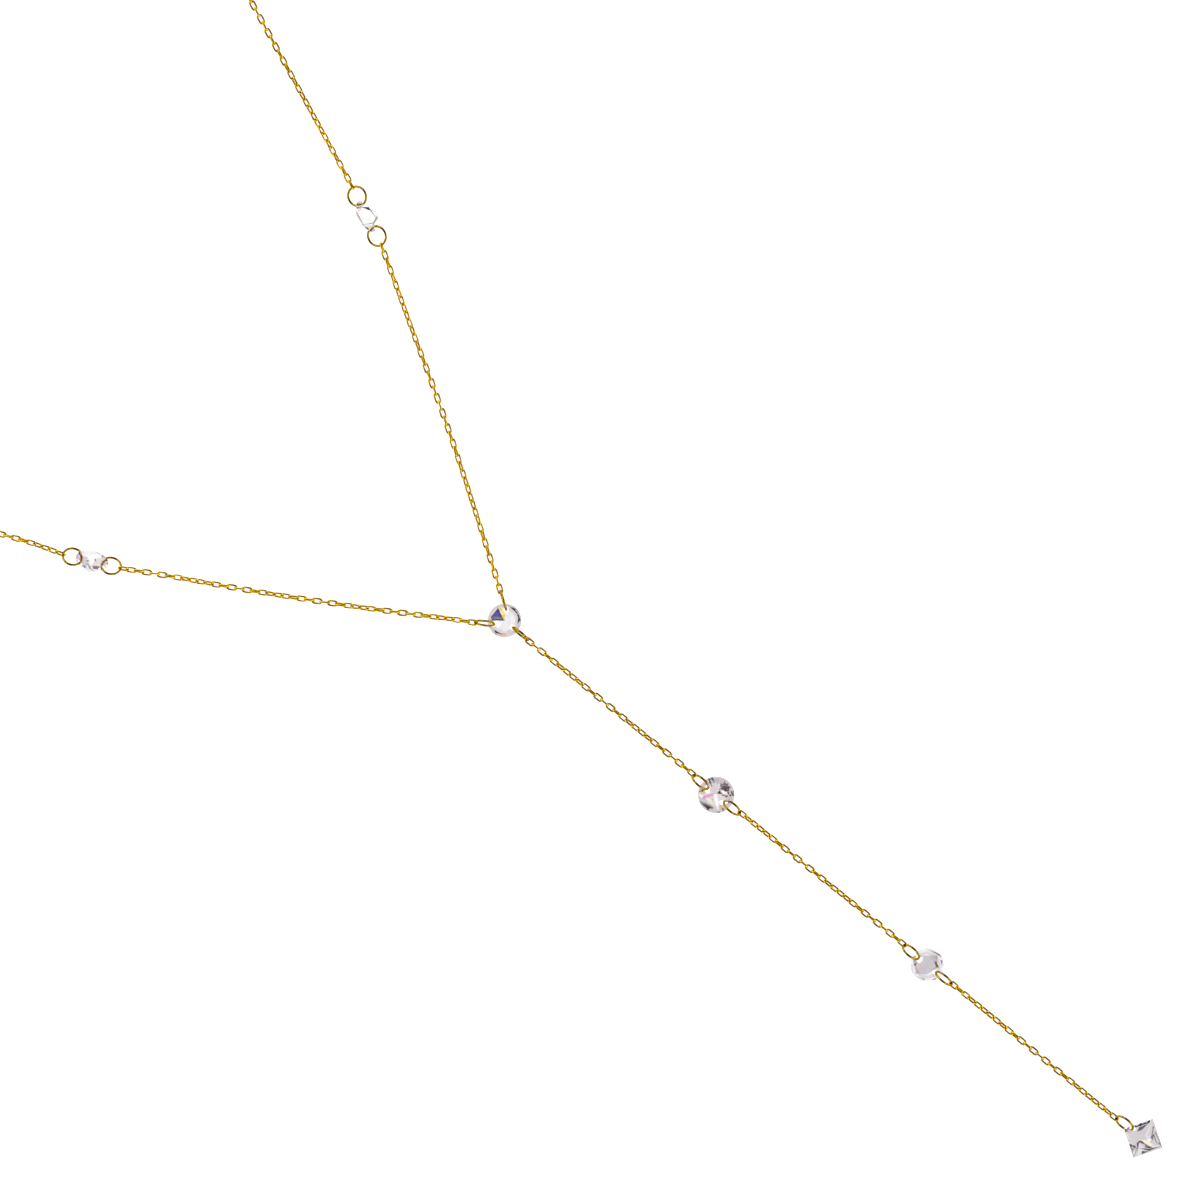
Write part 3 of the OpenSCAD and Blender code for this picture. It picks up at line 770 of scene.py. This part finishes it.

# %% [markdown]
# The first stone of the drop sparkles most: painted reflections as dark teeth on its right, pink and amber
# ones on its left, and a painted dark edge below. Its flashes are the most ragged.

# %% Glass of the first drop stone
DROP_1_FLASHES = [
    (GREY_MAUVE, (-6, -16), (3, -16), (0, -3)), (WARM_GREY, (-9, -4), (0, -14), (1.6, -2.4)),
    (INK, (-8.2, -15.8), (-6.2, -16.4), (-5.5, -11.6)), (INK, (-7.2, -12.4), (-5.4, -12.6), (-4.3, -9)),
    (INK, (-5.5, -17.2), (-3.3, -17.2), (-1.9, -12.6)), (PINK_GREY, (2, 1.6), (15, 4), (8, 10)),
    (MID, (3.4, -5.4), (8.4, -12.8), (13.8, -7.6)), (MID, (3.4, -5.4), (13.8, -7.6), (12.6, -3.6)),
    (BLACK, (1, -1.8), (5.6, -1), (3.4, -4.6)), (DARK, (2.8, -5.8), (6.6, -6.4), (6, -3.6)),
    (BLACK, (6.2, -7.2), (12.8, -3.8), (8.2, -3.8)), (DARK, (7.4, -8.8), (11.8, -7.6), (9.4, -4.8)),
    (SMOKE, (8.5, -13.4), (9.8, -10.2), (6.8, -9.8)), (SMOKE, (11.6, -11.4), (11.2, -8.6), (8.4, -10.4)),
    (DARK, (14.1, -8), (11.2, -7.8), (12.2, -4.6)), (SMOKE, (4.4, -11.4), (6.4, -10.6), (4.2, -8.2)),
    (DARK, (5.2, -8.6), (7.8, -8.2), (6.4, -6.2)), (WHITE, (5, -4.9), (9.6, -2), (8, -1.5)),
    (DARK, (11.5, -2.9), (13.3, -2), (12.2, 0.1)), (BLACK, (13.5, -0.5), (15.3, 0.4), (13.8, 1.7)),
    (DARK, (14.8, -4), (16.1, -3), (15, -1.2)), (BLACK, (15.7, -2.4), (17.3, -1.2), (16.2, 0.7)),
    (BLACK, (17.1, -4), (19, -2.6), (17.8, -1.3)), (DARK, (16.7, -0.7), (18.5, 0), (17.2, 1.3)),
    (BROWN, (5.8, -0.2), (8.4, -0.2), (7.6, 1.2)), (BROWN, (8.2, 0.6), (12, 0.8), (10, 2.8)),
    (MID, (-16.4, -5.2), (-12.6, -7), (-13.2, -5.4)), (DARK, (-17, -3.2), (-13.2, -5.4), (-12.2, -3.8)),
    (AMBER, (-17.4, -2.6), (-11.6, -3), (-12, -1.4)), (WHITE, (-16.6, -0.2), (-12.6, 0.4), (-15, 3)),
    (PINK, (-12.6, 0.8), (-1.6, -2), (-12, 3.4)), (PINK, (-12, 3.4), (-1.6, -2), (-2, 0)),
    (PALE_GREEN, (-9, 3.6), (-3, 4.6), (-4, 9)), (AMBER, (-4.6, 3.4), (-2.4, 4), (-3, 7)),
    (WHITE, (-2.4, -0.6), (0.6, -0.6), (1.2, 16)), (WHITE, (-1.6, 4), (1.6, 4), (2.6, 15.6)),
    (MID, (-16.2, 6.4), (-6, 10), (-4, 13.4)), (SMOKE, (-16.2, 7.2), (-7.9, 15), (-6.4, 11.6)),
    (DARK, (-14.6, 8.8), (-7.9, 14.9), (-8.4, 12)), (BLACK, (-9.6, 11), (-4.4, 12.4), (-7.8, 14.9)),
    (SMOKE, (-5, 11.4), (-3.1, 12.6), (-4.4, 14)), (AMBER, (3, 10.4), (5.4, 11.2), (4.4, 15.4)),
    (SMOKE, (5.8, 13), (7.8, 13.4), (7, 17.2)), (INK, (1.3, 16.8), (4.1, 17), (2.8, 18.4)),
]
DROP_1_GLASS = stone_material(
    "drop_1_glass", DROP_1_PLACE, DROP_1_D / 2, DROP_1_FLASHES,
    plain=(226, 220, 221), rim=(222, 212, 212), light=1.42, rim_light=1.3, jagged=0.35)

# %% [markdown]
# The second one shows one broad painted grey reflection on a facet in its middle and is white around it.

# %% Glass of the second drop stone
DROP_2_FLASHES = [
    (GREY_MAUVE, (-14, -9), (10, -9.6), (-11, 8)), (GREY_MAUVE, (10, -9.6), (9.6, 2.4), (-11, 8)),
    (GREY_MAUVE, (9.6, 2.4), (-1, 9), (-11, 8)), (PINK_MAUVE, (3, -10), (9.6, -8), (9, 1)),
    (MID, (5, 3.8), (10.8, 1), (10.6, 2.4)), (BROWN, (7.2, -3.4), (9, -3.6), (11, 1.6)),
    (BROWN, (7.2, -3.4), (11, 1.6), (8.6, 1.4)), (SLATE, (13.4, -4.6), (15.2, -4.6), (14.6, -0.4)),
    (SMOKE, (3.2, -14.6), (8, -12.4), (12.8, -9.2)), (SMOKE, (8, -12.6), (12.6, -10.6), (13.4, -8.6)),
    (MID, (-7.8, 12.4), (-3, 13.6), (-2.4, 15)), (INK, (-13.6, -1), (-11.4, -2), (-12, 0.6)),
    (MID, (-14, -7.4), (-10.8, -6.6), (-13.6, -2)), (AMBER, (-10.2, 1.2), (-8, 1), (-8.4, 3.4)),
    (WHITE, (-8.4, -8.2), (-4.6, -8), (-5.4, -4)), (PALE_GREEN, (4, 7.6), (9, 8), (7, 12)),
    (MID, (5, 14.6), (9, 12.8), (8, 14.8)), (LILAC, (-18, -1), (-14, 0), (-15, 9)),
]
DROP_2_GLASS = stone_material(
    "drop_2_glass", DROP_2_PLACE, DROP_2_D / 2, DROP_2_FLASHES,
    plain=(246, 245, 246), rim=(246, 245, 245), light=1.5, rim_light=1.2, jagged=0.1)

# %% [markdown]
# The square stone is painted an even grey shade, with painted dark reflections in steps along its upper and
# right edges and a painted pale reflection across its lower half.

# %% Glass of the square stone
SQUARE_FLASHES = [
    (SLATE, (-10.4, -12.4), (-5.6, -14.4), (-7, -12.2)), (INK, (-5, -12), (-1.8, -16.2), (-1, -14.4)),
    (SLATE, (-1.6, -15.4), (5, -18), (2, -14.6)), (INK, (-5.6, -7), (-3.6, -11), (-1, -9)),
    (INK, (-3.6, -10.4), (4.4, -14.2), (-0.8, -9.4)), (PALE, (1.6, -2.6), (7, -12), (3, -1.4)),
    (SMOKE, (10, -11.6), (11, -11.4), (8, 0.6)), (SMOKE, (7.4, -2), (10.4, -4), (9.6, 1.6)),
    (BROWN, (10, -3.8), (11, -3.8), (13.4, 4)), (SLATE, (11.6, -6), (12.8, -6), (19, 8)),
    (SMOKE, (15.4, 5), (17, 4.4), (19.4, 9)), (WHITE, (3.6, 0), (7.6, 1), (5.6, 4)),
    (LILAC, (2.8, -2.4), (7.4, -2.4), (5, 0.6)), (CREAM, (-2.2, 1.2), (4, 2), (12, 8.4)),
    (CREAM, (-2.2, 1.4), (12, 8.4), (6.6, 7.6)), (DARK, (-3.4, 2.4), (-6.2, 4.6), (-5.6, 11)),
    (DARK, (-4.4, 3.2), (-1.8, 2.4), (2.2, 6)), (SMOKE, (1.4, 5.4), (6.6, 8.2), (2.4, 8.8)),
    (PALE, (-4.2, 5), (-5, 17), (1.6, 10)), (PINK_GREY, (9, 6.6), (17, 7.4), (15, 9)),
    (BLACK, (2.4, 8.8), (8.8, 8.6), (7, 10)), (BLACK, (-2, 10), (7, 12.8), (6.8, 10.9)),
    (BLACK, (5.6, 12.8), (16, 8.8), (6.4, 10.8)), (BLACK, (-0.6, 15.8), (-1.2, 13), (4.8, 13.4)),
    (DARK, (-13.4, 6), (-11.4, 6.4), (-11.2, 12.4)), (DARK, (-12.6, 7), (-7.4, 7.8), (-8, 9.9)),
    (OLIVE, (-11.4, 10), (-9, 10.4), (-10.4, 13.8)), (MID, (-11, 13), (-10, 13), (-9.3, 18.6)),
    (MID, (-6.8, 9.4), (-5.7, 9.6), (-8.8, 18.4)), (CREAM, (-9.8, 13), (-8.4, 13), (-9.2, 16)),
    (BLACK, (-4.7, -13.2), (-1.7, -14.6), (-2.3, -11.8)),
]
SQUARE_GLASS = stone_material(
    "square_glass", SQUARE_PLACE, SQUARE_W, SQUARE_FLASHES,
    plain=(213, 208, 209), rim=(213, 208, 209), light=1.15, rim_light=1.15, jagged=0.1)

# %% [markdown]
# The left neck stone has painted grey reflections at its ends, where the drilled rim is thin, and is white
# between them.

# %% Glass of the left neck stone
LEFT_FLASHES = [
    (GREY_MAUVE, (-18, -3), (-11, -9.6), (-8, -2)), (GREY_MAUVE, (-18, -3), (-8, -2), (-12, 5.6)),
    (GREY_MAUVE, (-12, -5), (-4, -4), (-5, 5.6)), (GREY_MAUVE, (-12, -5), (-5, 5.6), (-12, 5.4)),
    (PINK_GREY, (4, -2.4), (15, -4), (13.6, 10)), (PINK_GREY, (4, -2.4), (13.6, 10), (1, 6)),
    (WHITE, (-3.6, -6), (8, -6), (0, 3)), (INK, (-9.2, 4.4), (-7.4, 4.4), (-5.6, 7)),
    (INK, (-3, 5), (-1.6, 5), (-0.4, 7.6)), (SMOKE, (1.2, 4.8), (10.2, 5.4), (10.6, 8.6)),
    (SMOKE, (1.2, 4.8), (10.6, 8.6), (1.8, 7.4)), (MID, (-5.4, 2.4), (-3.4, 2.4), (-2.6, 4.8)),
    (MID, (-2.4, 6.8), (-1, 7.2), (2.6, 10.6)), (CREAM, (6, 3.6), (12.6, 6.8), (12, 7.8)),
    (SMOKE, (-4.4, -1.4), (-3, -1), (-3.6, 0.6)), (SMOKE, (3, -2), (4.4, -2), (4.2, 0)),
    (PINK_GREY, (10.6, -3.4), (18, -3), (14, 7)),
]
LEFT_GLASS = stone_material(
    "left_glass", LEFT_STONE, SIDE_D / 2, LEFT_FLASHES,
    plain=(242, 240, 240), rim=(224, 216, 216), light=1.15, rim_light=1.2, jagged=0.3, ior=1.18)

# %% [markdown]
# The right one is almost white, with thin painted grey and olive reflections along its edges.

# %% Glass of the right neck stone
RIGHT_FLASHES = [
    (PINK_GREY, (-14, -16), (-1, -16), (-8, -3)), (SMOKE, (-10.4, -8.8), (-6.4, -8.2), (-10, -7)),
    (BLACK, (-4, -8.6), (1.6, -8.8), (4, -5.6)), (BLACK, (-4, -8.4), (4, -5.6), (2, -6)),
    (MID, (-12.6, -6), (-11.2, -6.4), (-1, 12)), (MID, (-12.4, -3.6), (-11, -4), (-3, 10)),
    (SMOKE, (-4, 8.6), (-2.6, 8.6), (-1, 11.4)), (PALE_GREEN, (-6, 2), (5, 3), (-2, 10)),
    (OLIVE, (9.8, 0.6), (10.8, 1.6), (5.6, 10)), (OLIVE, (9, 2), (6.8, 6), (5.4, 10.2)),
    (MID, (3.4, -5.4), (4.4, -5.4), (9, 1.6)), (PINK_GREY, (-3.6, 10), (9, 9), (5, 19)),
    (MID, (-3, 9), (6, 6.6), (5.6, 7.6)),
]
RIGHT_GLASS = stone_material(
    "right_glass", RIGHT_STONE, SIDE_D / 2, RIGHT_FLASHES,
    plain=(248, 248, 247), rim=(228, 222, 222), light=1.05, rim_light=1.15, jagged=0.1, ior=1.18)

# %% [markdown]
# ## Cutting a facet
#
# A cutter grinds a stone flat by flat, and so does this: a round or square blank is cut by one plane for each
# facet, and every cut is closed with a face. Each plane goes through three points that are known from the
# stone's proportions, so neighbouring facets meet where they should.

# %% Cutting a facet
def facet(bm, a, b, c, inside):
    normal = geometry.normal((a, b, c))
    if normal.dot(a - inside) < 0:
        normal.negate()
    cut = bmesh.ops.bisect_plane(bm, geom=bm.verts[:] + bm.edges[:] + bm.faces[:], dist=1e-4, plane_co=a,
                                 plane_no=normal, clear_outer=True)["geom_cut"]
    rim = [edge for edge in edges_of(cut) if edge.is_boundary]
    if rim:
        bmesh.ops.edgeloop_fill(bm, edges=rim)


def at(radius, degrees, z):
    return polar(radius, degrees) + Vector((0, 0, z))


def blank(sides, r, top):
    """An uncut stone, standing on z = 0."""
    bm = bmesh.new()
    bmesh.ops.create_cone(bm, cap_ends=True, segments=sides, radius1=r, radius2=r, depth=top)
    bmesh.ops.translate(bm, vec=(0, 0, top / 2), verts=bm.verts)
    return bm


# %% [markdown]
# ## Round brilliant
#
# The round stones are brilliants: eight main facets and sixteen half facets on each side of the girdle, with
# eight small ones round the table. They lie on their table, so the crown is cut from below.

# %% Round brilliant
BLANK_SIDES = 64
STAR_REACH, LOWER_REACH = 0.76, 0.62
HALF_TURN = 22.5


def round_cut(d):
    """A round brilliant, table down on z = 0."""
    r, low = d / 2, crown_rise(d)
    high = low + GIRDLE
    top = high + pavilion_rise(d)
    half = math.cos(math.radians(HALF_TURN))
    star_z = low - low * (r - STAR_REACH * r * half) / (r - r * ROUND_TABLE)
    lower_z = high + pavilion_rise(d) * (1 - LOWER_REACH * half)
    inside = Vector((0, 0, low))
    mains = [2 * HALF_TURN * k for k in range(8)]
    bm = blank(BLANK_SIDES, r, top)
    for a in mains:
        table, girdle = at(r * ROUND_TABLE, a, 0), at(r, a, low)
        facet(bm, table, girdle, at(r, a, low) + polar(1, a + 90), inside)
        for side in (a - HALF_TURN, a + HALF_TURN):
            facet(bm, at(STAR_REACH * r, side, star_z), girdle, at(r, side, low), inside)
        star = at(STAR_REACH * r, a + HALF_TURN, star_z)
        facet(bm, table, at(r * ROUND_TABLE, a + 2 * HALF_TURN, 0), star, inside)
    for a in mains:
        facet(bm, at(0, 0, top), at(r, a, high), at(r, a, high) + polar(1, a + 90), inside)
    for a in mains:
        for side in (a - HALF_TURN, a + HALF_TURN):
            facet(bm, at(LOWER_REACH * r, side, lower_z), at(r, a, high), at(r, side, high), inside)
    return bm


# %% [markdown]
# ## Drilling
#
# The holes are drilled, not moulded. A thin cylinder is taken out of the cut stone by a Boolean modifier
# whose result is kept as the mesh. The cylinder's faces carry the second material, so the drilled wall stays
# ground.

# %% Drilling
DRILL_LENGTH, DRILL_SIDES = 6, 24
UPPER_LIMIT = 0.02


def hole_frame(middle, heading, lean, slant, depth):
    """Where to drill for a ring with this middle, heading and lean."""
    bow = RING_R - math.sqrt(RING_R ** 2 - (depth / 2) ** 2)
    return (Matrix.Translation(middle) @ turned(heading, "Z") @ turned(lean, "X") @ turned(-slant, "Y")
            @ Matrix.Translation((bow / 2 - RING_R, 0, 0)))


def kept_result(shape):
    """The shape with its modifiers applied, as a new bmesh."""
    bpy.context.view_layer.update()
    finished = bmesh.new()
    finished.from_mesh(shape.evaluated_get(bpy.context.evaluated_depsgraph_get()).to_mesh())
    return finished


def drilled(node, bm, holes, glass):
    stone = new_object(node, bm, [glass, DRILLED_WALL])
    drills = []
    for number, place in enumerate(holes):
        drill = bmesh.new()
        bmesh.ops.create_cone(drill, cap_ends=True, segments=DRILL_SIDES, radius1=HOLE_D / 2,
                              radius2=HOLE_D / 2, depth=DRILL_LENGTH)
        for face in drill.faces:
            face.material_index = 1
            face.smooth = True
        drills.append(new_object("drill", placed(drill, place), [glass, DRILLED_WALL]))
        cut = stone.modifiers.new(f"hole_{number}", "BOOLEAN")
        cut.object = drills[-1]
        cut.operation = "DIFFERENCE"
        cut.solver = "EXACT"
    finished = kept_result(stone)
    upper = finished.faces.layers.float.new(UPPER_FACE)
    for face in finished.faces:
        face.normal_update()
        face[upper] = face.normal.z > UPPER_LIMIT
    for extra in drills + [stone]:
        bpy.data.objects.remove(extra)
    finish_piece(node + "_cut", finished, [glass, DRILLED_WALL], node)


# %% [markdown]
# ## Stones that lie on their table
#
# The Y stone has three holes and the two stones of the drop have two. Their rings stand, so each hole is
# drilled a little aslant, along the ring's wire.

# %% Stones that lie on their table
SLANT = 16


def lying_stone(node, place, d, inset, rings, glass):
    depth = hole_middle(d, inset)[1]
    holes = [hole_frame(*RINGS[ring], SLANT, depth) for ring in rings]
    drilled(node, placed(round_cut(d), Matrix.Translation(place)), holes, glass)


lying_stone("y_stone", Y_PLACE, Y_D, Y_INSET, ["y_ring_left", "y_ring_right", "y_ring_drop"], Y_GLASS)
lying_stone("drop_stone_1", DROP_1_PLACE, DROP_1_D, DROP_1_INSET, ["drop_1_ring_top", "drop_1_ring_bottom"],
            DROP_1_GLASS)
lying_stone("drop_stone_2", DROP_2_PLACE, DROP_2_D, DROP_2_INSET, ["drop_2_ring_top", "drop_2_ring_bottom"],
            DROP_2_GLASS)

# %% [markdown]
# ## Neck stones
#
# The neck stones lie on their edge. The whole stone is turned with its rings, so its holes are drilled
# straight through.

# %% Neck stones
def rolled_stone(side, place, inset, glass):
    rings = [f"side_{side}_ring_back", f"side_{side}_ring_front"]
    middle, depth = hole_middle(SIDE_D, inset)
    heading, lean = RINGS[rings[0]][1:]
    stand = (Matrix.Translation(place) @ turned(heading, "Z") @ turned(lean, "X")
             @ Matrix.Translation((0, 0, -middle)))
    holes = [hole_frame(*RINGS[ring], 0, depth) for ring in rings]
    drilled("side_stone_" + side, placed(round_cut(SIDE_D), stand), holes, glass)


rolled_stone("left", LEFT_STONE, LEFT_INSET, LEFT_GLASS)
rolled_stone("right", RIGHT_STONE, RIGHT_INSET, RIGHT_GLASS)

# %% [markdown]
# ## Square stone
#
# The end stone is square, with chevron facets that step towards its point. It hangs by a corner, so its ring
# lifts that corner a little.

# %% Square stone
SQUARE_TABLE, SQUARE_CROWN, SQUARE_PAVILION = 0.7, 0.5, 2.5
SQUARE_TURN, SQUARE_TILT = 12, 7.5
STEP_REACH, STEP_RISE, RIDGE_REACH, RIDGE_RISE = 0.6, 0.52, 0.42, 0.66


def square_cut(w):
    r, low = w / math.sqrt(2), SQUARE_CROWN
    high = low + GIRDLE
    top = high + SQUARE_PAVILION
    inside = Vector((0, 0, high))
    bm = blank(4, r, top)
    first = min((v.co.xy.angle_signed(Vector((1, 0))) for v in bm.verts), key=abs)
    bmesh.ops.rotate(bm, cent=(0, 0, 0), matrix=Matrix.Rotation(first, 3, "Z"), verts=bm.verts)
    for a in (0, 90, 180, 270):
        facet(bm, at(r * SQUARE_TABLE, a, 0), at(r * SQUARE_TABLE, a + 90, 0), at(r, a, low), inside)
    for a in (0, 90, 180, 270):
        step = at(w / 2 * STEP_REACH, a + 45, high + SQUARE_PAVILION * STEP_RISE)
        facet(bm, at(r, a, high), at(r, a + 90, high), step, inside)
        for corner in (a, a + 90):
            ridge = at(r * RIDGE_REACH, corner, high + SQUARE_PAVILION * RIDGE_RISE)
            facet(bm, at(r, corner, high), step, ridge, inside)
            facet(bm, at(0, 0, top), step, ridge, inside)
    return bm


table_corner = SQUARE_W / math.sqrt(2) * SQUARE_TABLE * math.cos(math.radians(SQUARE_TURN))
lift = Vector((0, 0, table_corner * math.sin(math.radians(SQUARE_TILT))))
tip = (Matrix.Translation(SQUARE_PLACE + lift) @ turned(RINGS["square_ring"][1], "Z")
       @ turned(-SQUARE_TILT, "Y") @ turned(SQUARE_TURN, "Z"))
corner_hole = hole_frame(*RINGS["square_ring"], SQUARE_TILT, SQUARE_W / 4)
drilled("square_stone", placed(square_cut(SQUARE_W), tip), [corner_hole], SQUARE_GLASS)

# %% [markdown]
# ## Clasp
#
# The fastening is out of sight at the back of the neck, so it is one plain closed ring with an eye. Two spun
# rings are joined to one skin by a Boolean modifier, as the real eye is soldered on.

# %% Clasp
CLASP_WIRE, EYE_WIRE = 0.9, 0.5
CLASP_Z = CLASP_WIRE / 2 + RING_WIRE + CLEARANCE


def spun_ring(name, x, radius, wire, sides, steps):
    bm = bmesh.new()
    bmesh.ops.create_circle(bm, segments=sides, radius=wire / 2)
    placed(bm, Matrix.Translation((radius, 0, 0)) @ turned(90, "X"))
    bmesh.ops.spin(bm, geom=bm.edges[:] + bm.verts[:], cent=(0, 0, 0), axis=(0, 0, 1), angle=math.tau,
                   steps=steps, use_merge=True, use_duplicate=False)
    bmesh.ops.recalc_face_normals(bm, faces=bm.faces)
    for face in bm.faces:
        face.smooth = True
    return new_object(name, placed(bm, Matrix.Translation((x, CLASP_AT, CLASP_Z))))


body = spun_ring("clasp_body", CLASP_X, CLASP_R, CLASP_WIRE, sides=24, steps=72)
eye = spun_ring("clasp_eye", CLASP_X - CLASP_R - EYE_R, EYE_R, EYE_WIRE, sides=18, steps=48)
join = body.modifiers.new("join", "BOOLEAN")
join.object = eye
join.operation = "UNION"
join.solver = "EXACT"
joined = kept_result(body)
for extra in (body, eye):
    bpy.data.objects.remove(extra)
finish_piece("clasp_closed", joined, [SHADED_RING_GOLD], "clasp")

# %% [markdown]
# ## Surface
#
# The necklace lies on a plain white surface. The surface glows a little, so it stays evenly white and takes
# almost no shadow, as in a product photo.

# %% Surface
PAPER_LIGHT, PAPER_DARK = (0.32, 0.32, 0.32, 1), (0.3, 0.3, 0.3, 1)
PAPER_SCALE, PAPER_ROUGH, PAPER_GLOW = 40, 0.9, 1.05

sheet = bmesh.new()
bmesh.ops.create_grid(sheet, x_segments=1, y_segments=1, size=1.5)
paper, tree, shader, coords = empty_material("white_surface")
white = mixed(tree, patches(tree, coords, PAPER_SCALE, 0, 1), PAPER_LIGHT, PAPER_DARK)
fill(tree, shader, {"Base Color": white, "Roughness": PAPER_ROUGH, "Emission Color": (1, 1, 1, 1),
                    "Emission Strength": PAPER_GLOW})
new_object("surface", sheet, [paper])

# %% [markdown]
# ## Light
#
# The sky is dim, with two wide soft lights beyond the two ends of the drop. A round wire mirrors that as dark
# long sides and bright bends, and this contrast is what makes it look like metal.

# %% Light
LIGHT_FROM, LIGHT_TO = 0.36, 0.6
DIM, BRIGHT = 0.16, 2.0

world = bpy.data.worlds.new("studio")
bpy.context.scene.world = world
world.use_nodes = True
sky = world.node_tree
towards_sky = add_node(sky, "ShaderNodeTexCoord", {}).outputs["Generated"]
along = add_node(sky, "ShaderNodeSeparateXYZ", {"Vector": towards_sky}).outputs["Y"]
along = add_node(sky, "ShaderNodeMath", {0: along}, operation="ABSOLUTE").outputs[0]
glow = {"Value": along, "From Min": LIGHT_FROM, "From Max": LIGHT_TO, "To Min": DIM, "To Max": BRIGHT}
glow = add_node(sky, "ShaderNodeMapRange", glow, interpolation_type="SMOOTHSTEP").outputs["Result"]
fill(sky, sky.nodes["Background"], {"Color": glow, "Strength": 1})
print("sky nodes:", len(sky.nodes))

# %% [markdown]
# ## Camera
#
# The photo looks straight down. Its middle is a little to the right of the drop, and its upright is turned
# towards the neck's right side. The camera is far away with a long lens, so nothing leans outwards.

# %% Camera
CAMERA_PLACE = Vector((10.57, -8.51, 1854))

camera = bpy.data.objects.new("camera", bpy.data.cameras.new("camera"))
bpy.context.scene.collection.objects.link(camera)
camera.data.lens = 400
camera.data.sensor_width = 36
camera.data.clip_start = 0.01
view = Matrix((SEEN_RIGHT, SEEN_UP, Vector((0, 0, 1)))).transposed().to_4x4()
camera.matrix_world = Matrix.Translation(CAMERA_PLACE * MM) @ view
bpy.context.scene.camera = camera
bpy.context.scene.view_settings.view_transform = "Standard"
print("the view is", round(CAMERA_PLACE.z * camera.data.sensor_width / camera.data.lens), "mm wide")
